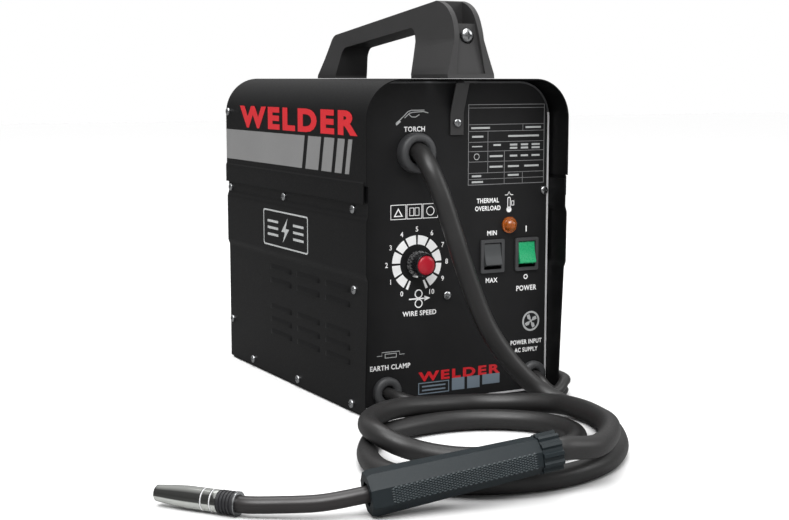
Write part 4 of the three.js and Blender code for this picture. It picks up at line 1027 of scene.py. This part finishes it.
def build_controls():
    bush = [(9.6, -6), (10.2, -9), (11.6, -10.4), (13, -10.8), (15.4, -10.6), (17.2, -9.4), (18, -7.4),
            (18, -0.3), (14.6, -0.3), (14.6, 9), (9.6, 9), (9.6, -6)]
    fine("torch_bush", turned("y", BUSH, facing_panel(bush), 72), "plastic")
    for node, spot, r, neck, bore in (
        ("earth_grommet", EARTH_GROMMET, 14, 10.2, 5.8),
        ("mains_grommet", MAINS_GROMMET, 13, 9.2, 4.9),
    ):
        ring = [(bore, -3), (bore + 0.8, -5), (bore + 2.2, -6), (r - 3.4, -6.1), (r - 1.2, -5.4), (r, -3.8),
                (r, -0.3), (neck, -0.3), (neck, 6), (bore, 6), (bore, -3)]
        fine(node, turned("y", spot, facing_panel(ring), 64), "plastic")

    dome = [(6.2 * math.sin(t), -2.4 - 6.0 * math.cos(t)) for t in [math.radians(9 * i) for i in range(11)]]
    lens = dome + [(7.6, -2.2), (7.6, -0.3), (5.6, -0.3), (5.6, 18), (0, 18)]
    fine("overload_lamp", turned("y", LAMP, facing_panel(lens), 48), "amber")

    back, tip = -3.6, -17.6
    knob = [(0, tip + 2), (8.9, tip + 2), (8.9, tip), (9.6, tip), (10.4, tip + 1), (11.8, back - 4),
            (12.6, back - 1), (12.6, back), (3.3, back), (3.3, back - 7), (0, back - 7)]
    body = new_object("speed_knob_fine", turned("y", DIAL, facing_panel(knob), 72))
    grooves = []
    for i in range(24):
        t = math.radians(15 * i)
        spot = (DIAL[0] + 12.5 * math.sin(t), DIAL[1] + 12.5 * math.cos(t))
        grooves.append(slab("y", circle(*spot, 0.8, 12), PANEL_FACE + tip - 1, PANEL_FACE + back - 2.5))
    carve(body, merged(*grooves))
    dressed(body, "gloss", "dial", ["speed_knob"])
    cap = [(0, -3.8), (5, -3.7), (7.4, -3.2), (8.4, -2.3), (8.6, -1.2), (8.6, 0), (0, 0)]
    seat = tip + 2 - 0.3
    fine("knob_cap", turned("y", DIAL, facing_panel([(r, h + seat) for r, h in cap]), 56), "red", "dial")
    t = math.radians(DIAL_ZERO)
    pointer = slab("y", box(-0.55, 0.55, -0.6, 0.75), PANEL_FACE - 12, PANEL_FACE - 4.4)
    turn = Matrix.Rotation(t - math.pi / 2, 3, "Y").inverted()
    spot = Vector((DIAL[0] + 12.1 * math.cos(t), 0, DIAL[1] + 12.1 * math.sin(t)))
    pointer = ([tuple(turn @ Vector(v) + spot) for v in pointer[0]], pointer[1])
    piece("knob_pointer", pointer, "ink_white", body="dial")

    for name, (x, z), color in (("range", RANGE_SWITCH, "grey_rocker"), ("power", POWER_SWITCH, "green")):
        wide, tall = BEZEL_HALF
        bezel = slab("y", round_box(x - wide, x + wide, z - tall, z + tall, 1.6), PANEL_FACE - 2.1,
                     PANEL_FACE - 0.3, [round_box(x - 9.5, x + 9.5, z - 12.4, z + 12.4, 0.6, steps=4)])
        piece(name + "_bezel", bezel, "plastic", bevel=0.5, segments=3, nodes=[name + "_switch"])
        well = slab("y", box(x - 10.9, x + 10.9, z - 13.3, z + 13.3), PANEL_FACE - 0.5, PANEL_FACE + 22)
        shell = new_object(name + "_switch_shell", well)
        carve(shell, slab("y", box(x - 9.4, x + 9.4, z - 12.3, z + 12.3), PANEL_FACE - 4, PANEL_FACE + 11))
        dressed(shell, "black")
        tabs = [block(x - 3, x + 3, PANEL_FACE + 21, PANEL_FACE + 29, z + d - 0.4, z + d + 0.4)
                for d in (-6, 0, 6)]
        piece(name + "_switch_tabs", merged(*tabs), "brass", slot="brass")
        level = rounded(
            [(-7.7, 0), (-8.6, 9.9), (-6, 10.6), (1.5, 9.6), (3.5, 4), (3.5, -4), (1.5, -9.6), (-6, -10.6),
             (-8.6, -9.9)],
            [4, 0.5, 1, 1, 1, 1, 1, 1, 0.5], 6)
        cos, sin = math.cos(ROCKER_TILT), math.sin(ROCKER_TILT)
        pivot = PANEL_FACE + 5.4
        outline = [(pivot + y * cos - h * sin, z + y * sin + h * cos) for y, h in level]
        rocker = name + "_rocker"
        fine(rocker, slab("x", outline, x - 9, x + 9), color, rocker, bevel=0.45, segments=3)


# ---- torch and cable ----

CABLE_PATH = [
    (BUSH[0], PANEL_FACE + 12, BUSH[1]),
    (BUSH[0], PANEL_FACE - 11, BUSH[1]),
    (-44, -161, 220),
    (-38, -170, 198),
    (-29, -176, 166),
    (-16, -182, 122),
    (1, -189, 77),
    (22, -198, 44),
    (43, -209, 21.5),
    (58, -231, 10.2),
    (61.5, -262, 8.8),
    (51, -298, 8.8),
    (35, -331, 8.8),
    (12, -364, 8.8),
    (-20, -391, 8.8),
    (-60, -406, 8.8),
    (-102, -406, 8.8),
    (-140, -392, 8.8),
    (-167, -369, 8.8),
    (-180, -339, 8.8),
    (-177, -308, 8.8),
    (-163, -275, 8.8),
    (-136, -241, 8.8),
    (-96, -227, 8.8),
    (-52, -227, 8.8),
    (-14, -244, 8.8),
    (9, -272, 8.8),
    (11, -306, 8.8),
    (-8, -334, 8.8),
    (-42, -347, 8.8),
    (-82, -343, 8.8),
    (-113, -331, 9.5),
    (-137, -318, 13.5),
    (-154, -308, 19.5),
    (-163, -292, 25.5),
    (-158, -266, 26.4),
    (-138, -241, 26.3),
    (-105, -221, 24.4),
    (-67, -212, 20.3),
    (-28, -213, 17.8),
    (2, -230, 18.6),
    (23, -262, 22.2),
    (21, -301, 26.2),
    (14, -335, 27.7),
    (0, -368, 30.2),
    (-24, -399, 30.6),
    (-54, -423, 32.4),
]


def knurl():
    """Small pyramids on the near flat of the torch handle, in the handle's own frame."""
    shapes = []
    pitch = 1.9
    for i in range(56):
        z = 6 + i * pitch
        apothem = GRIP_REAR + (z - 6) * (GRIP_FRONT - GRIP_REAR) / (TORCH_LENGTH - 10)
        for k in range(-6, 7):
            y = (k + (i % 2) * 0.5) * pitch * 0.94
            if abs(y) > 5.6:
                continue
            half = pitch * 0.48
            x = apothem - 0.05
            corners = [(x, y - half, z), (x, y, z - half * 2), (x, y + half, z), (x, y, z + half * 2)]
            tip = (x + 1.1, y, z)
            shapes.append((corners + [tip], [(0, 1, 2, 3), (0, 1, 4), (1, 2, 4), (2, 3, 4), (3, 0, 4)]))
    return merged(*shapes)


def build_torch():
    in_handle = [along(TORCH_REAR, TORCH_FRONT, s) for s in (-20, -12, 2, 16)]
    fine("torch_cable", tube([*CABLE_PATH, *in_handle], CABLE_R, 40, 2.5), "rubber")

    flat = 1 / math.cos(math.pi / 8)
    front = TORCH_LENGTH
    profile = [(0, 22), (9.2, 22), (9.2, 0), (12.2 * flat, 0), (GRIP_REAR * flat, 6),
               (GRIP_FRONT * flat, front - 4), (14 * flat, front), (9, front), (9, front - 5),
               (7.2, front - 6), (7.2, front - 16), (0, front - 16)]
    grip = new_object("torch_handle_fine", on_torch(turned("z", (0, 0), profile, 8, math.pi / 8)))
    carve(grip, on_torch(slab("z", box(-30, -3, -6, 6), 58, 108)))
    smooth_by_angle(grip.data, 25)
    bevelled(grip, 1.6, 4, 25)
    dressed(grip, "torch", nodes=["torch_handle"])
    piece("torch_knurl", on_torch(knurl()), "knurl", smooth=10)

    ribs = []
    for i in range(24):
        ribs += arc(0, 0, 12.8 if i % 2 else 14.5, i * 15 + 2.5, i * 15 + 12.5, 2)
    nut = slab("z", ribs, -NUT_LENGTH, -0.3, [circle(0, 0, 9.2)])
    fine("torch_end_nut", on_torch(nut), "torch", bevel=0.5, segments=3)
    lever = rounded(
        [(-11, 60), (-17, 62), (-19.6, 68), (-20, 86), (-18, 100), (-15, 106), (-9.5, 106), (-9.5, 60.5)],
        [1, 2, 3, 8, 4, 2, 1, 1], 6)
    fine("torch_trigger", on_torch(slab("y", lever, -5.5, 5.5)), "black", "trigger", bevel=0.7, segments=3)

    in_grip = [along(TORCH_REAR, TORCH_FRONT, TORCH_LENGTH + s) for s in (-14, -5, 4)]
    in_nozzle = [along(NOZZLE_BACK, NOZZLE_TIP, s) for s in (-20, -9, 2, 12)]
    neck = tube([*in_grip, (-258, -391, 11.2), (-282, -376, 9.3), *in_nozzle], NECK_R, 36, 1.5)
    fine("swan_neck", neck, "neck")
    ribs = [(r, z) for i in range(4) for r, z in ((7.5, -10.8 + i * 2.6), (8.3, -10.4 + i * 2.6),
                                                  (8.3, -9.2 + i * 2.6), (7.5, -8.8 + i * 2.6))]
    sleeve = [(6.4, -14), (8.2, -14), (8.4, -13.6), (8.4, -12.4), (8.2, -12), (7.5, -12), *ribs, (8, -0.3),
              (6.4, -0.3), (6.4, -14)]
    fine("nozzle_insulator", on_nozzle(turned("z", (0, 0), sleeve, 48)), "black")
    taper = [(8 - 2.2 * (i / 8) ** 1.3, 24 + 26.5 * i / 8) for i in range(9)]
    bell = [(7, 0), (7.8, 0), (8, 0.3), (8, 3.6), (7.5, 4.1), (7.5, 5), (8, 5.5), (8, 10.6), (7.5, 11.1),
            (7.5, 12), (8, 12.5), *taper, (5.4, 50.9), (4.9, 50.4), (7, 24), (7, 0)]
    fine("gas_nozzle", on_nozzle(turned("z", (0, 0), bell, 64)), "chrome")
    rings = [turned("z", (0, 0), [(7.4, z), (8.05, z), (8.05, z + 0.7), (7.4, z + 0.7), (7.4, z)], 64)
             for z in (4.2, 11.2)]
    piece("nozzle_rings", on_nozzle(merged(*rings)), "rim", slot="nozzle_chrome")
    flange = [(6.4, -14.9), (8.6, -14.9), (8.6, -14.1), (6.4, -14.1), (6.4, -14.9)]
    piece("insulator_flange", on_nozzle(turned("z", (0, 0), flange, 48)), "zinc", slot="nozzle_chrome")
    tip = [(0.6, 12.4), (5.2, 12.4), (5.2, 19), (3.2, 20), (3.2, 43), (2.2, 47), (0.6, 47), (0.6, 12.4)]
    fine("contact_tip", on_nozzle(turned("z", (0, 0), tip, 32)), "copper")


# ---- leads ----

def build_leads():
    x, z = EARTH_GROMMET
    floor = 5.3
    over_mains = floor + 9.1
    earth = [
        (x, PANEL_FACE + 12, z), (x, PANEL_FACE - 10, z), (x + 6, -156, z - 2), (x + 26, -170, floor + 3),
        (x + 60, -174, floor), (40, -174, floor), (74, -174, floor + 0.4), (89, -171.5, floor + 4.2),
        (100.5, -164, over_mains), (107.5, -156.5, over_mains), (111, -147, over_mains),
        (112.3, -132, over_mains), (118.8, -117, floor + 5.6), (127.5, -105, floor + 1.7),
        (138, -92, floor + 0.7),
        (CLAMP[0] - 3, CLAMP[1] - 100, 6.8), (CLAMP[0], CLAMP[1] - 88, 7.8), (CLAMP[0], CLAMP[1] - 73, 8),
    ]
    fine("earth_lead", tube(earth, EARTH_LEAD_R, 28, 2.5), "rubber")
    x, z = MAINS_GROMMET
    floor = 4.5
    mains = [
        (x, PANEL_FACE + 12, z), (x, PANEL_FACE - 10, z), (x, -150, z - 3), (x + 3, -157, floor + 4),
        (x + 10, -161.5, floor), (105, -158, floor), (110, -148, floor), (110.5, -130, floor),
        (110.5, -70, floor), (110.5, 0, floor), (113, 50, floor), (124, 84, floor + 2), (142, 92, 11),
        (PLUG[0], 102, 13), (PLUG[0], 112, 13), (PLUG[0], 120, 13),
    ]
    fine("mains_lead", tube(mains, MAINS_LEAD_R, 28, 2.5), "rubber")


# ---- CAD nodes shown as they are, with edges softened ----

# node: (material, width of the softened edge)
SHOWN = {
    "base_pan": ("case", 0.4), "cover_hinge_pin": ("zinc", 0), "shelf_plate": ("steel", 0.3),
    "divider_plate": ("steel", 0.3), "speed_potentiometer": ("steel", 0.2), "transformer_core": ("iron", 0.8),
    "primary_winding": ("copper", 1.2), "secondary_winding": ("aluminium", 1.2),
    "rectifier": ("aluminium", 0.3), "fan_housing": ("black", 0.5), "fan_rotor": ("plastic", 0.3),
    "control_board": ("board", 0.3),
    "feed_motor": ("steel", 0.5), "feed_housing": ("black", 0.6), "wire_guide": ("brass", 0.15),
    "drive_roller": ("zinc", 0.2), "pressure_arm": ("plastic", 0.6), "pressure_roller": ("zinc", 0.4),
    "tension_knob": ("black", 0.5), "spool_axle": ("black", 0.4), "wire_spool": ("plastic", 0.4),
    "wire_coil": ("wire", 0.6), "spool_nut": ("black", 0.6), "clamp_jaw_lower": ("zinc", 0.5),
    "clamp_jaw_upper": ("zinc", 0.5), "clamp_pin": ("zinc", 0.3), "mains_plug": ("black", 1.0),
}


def show_cad_nodes():
    for name, (material, bevel) in SHOWN.items():
        obj = NODES[name]
        obj.data.materials.clear()
        obj.data.materials.append(MATERIALS[material])
        smooth_by_angle(obj.data, 30)
        if bevel:
            bevelled(obj, bevel, 2, 32)


# ---- studio ----

def studio_paper():
    """White paper that shows darker in reflections, as if black flags stood round the object."""
    material = surface("studio_paper", (0.86, 0.86, 0.86), 0.8, grain=60, bump=0.02, mottle=0.01)
    tree = material.node_tree
    shader = tree.nodes["Principled BSDF"]
    tint = shader.inputs["Base Color"].links[0].from_socket
    path = add_node(tree, "ShaderNodeLightPath")
    flag = remap(tree, path.outputs["Is Glossy Ray"], (0, 1), (1, 0.22))
    shade = add_node(tree, "ShaderNodeVectorMath", operation="SCALE")
    tree.links.new(tint, shade.inputs[0])
    tree.links.new(flag, shade.inputs["Scale"])
    tree.links.new(shade.outputs["Vector"], shader.inputs["Base Color"])
    return material


def build_stage():
    mesh = bpy.data.meshes.new("studio_floor")
    corners = [(x, y, -0.0005) for x, y in box(-8, 8, -8, 8)]
    mesh.from_pydata(corners, [], [(0, 1, 2, 3)])
    floor = linked("studio_floor", mesh)
    floor.data.materials.append(studio_paper())

    world = bpy.data.worlds.new("studio")
    bpy.context.scene.world = world
    world.use_nodes = True
    tree = world.node_tree
    backdrop = tree.nodes["Background"]
    direction = add_node(tree, "ShaderNodeTexCoord")
    split = add_node(tree, "ShaderNodeSeparateXYZ")
    tree.links.new(direction.outputs["Generated"], split.inputs["Vector"])
    sky = remap(tree, split.outputs["Z"], (0, 0.8), (0.1, 0.75))
    path = add_node(tree, "ShaderNodeLightPath")
    choice = add_node(tree, "ShaderNodeMix", {"B": 1.0})
    tree.links.new(path.outputs["Is Camera Ray"], choice.inputs["Factor"])
    tree.links.new(sky, choice.inputs["A"])
    tree.links.new(choice.outputs["Result"], backdrop.inputs["Strength"])
    backdrop.inputs["Color"].default_value = (1, 1, 1, 1)

    sun = bpy.data.lights.new("sun_light", "SUN")
    sun.energy = 2.1
    sun.angle = math.radians(50)
    obj = linked("sun_light", sun)
    obj.rotation_euler = (math.radians(24), math.radians(-16), 0)

    for name, spot, target, size, power in (
        ("key_light", (-1.3, -1.6, 2.1), (0, -0.1, 0.15), 1.4, 26),
        ("fill_light", (1.9, -1.4, 1.2), (0, -0.1, 0.2), 1.2, 12),
        ("top_light", (0.1, 0.5, 2.4), (0, 0, 0.2), 1.6, 26),
    ):
        lamp = bpy.data.lights.new(name, "AREA")
        lamp.size = size
        lamp.energy = power
        obj = linked(name, lamp)
        obj.location = spot
        obj.rotation_euler = (Vector(target) - Vector(spot)).to_track_quat("-Z", "Y").to_euler()

    camera = bpy.data.cameras.new("camera")
    camera.lens = 64.06
    camera.sensor_width = 36
    camera.clip_start = 0.01
    obj = linked("camera", camera)
    obj.location = (-0.650, -1.231, 0.298)
    obj.rotation_euler = (math.radians(90 - 7.40), 0, math.radians(-28.11))
    bpy.context.scene.camera = obj
    bpy.context.scene.view_settings.view_transform = "Standard"


build_covers()
side_panel("left_side_sheet", -1, "left_side_panel")
side_panel("right_side_sheet", 1, "right_side_panel")
build_end_panels()
build_screws()
build_handle()
build_controls()
front_markings()
side_markings()
build_torch()
build_leads()
show_cad_nodes()
build_stage()

bpy.context.view_layer.update()
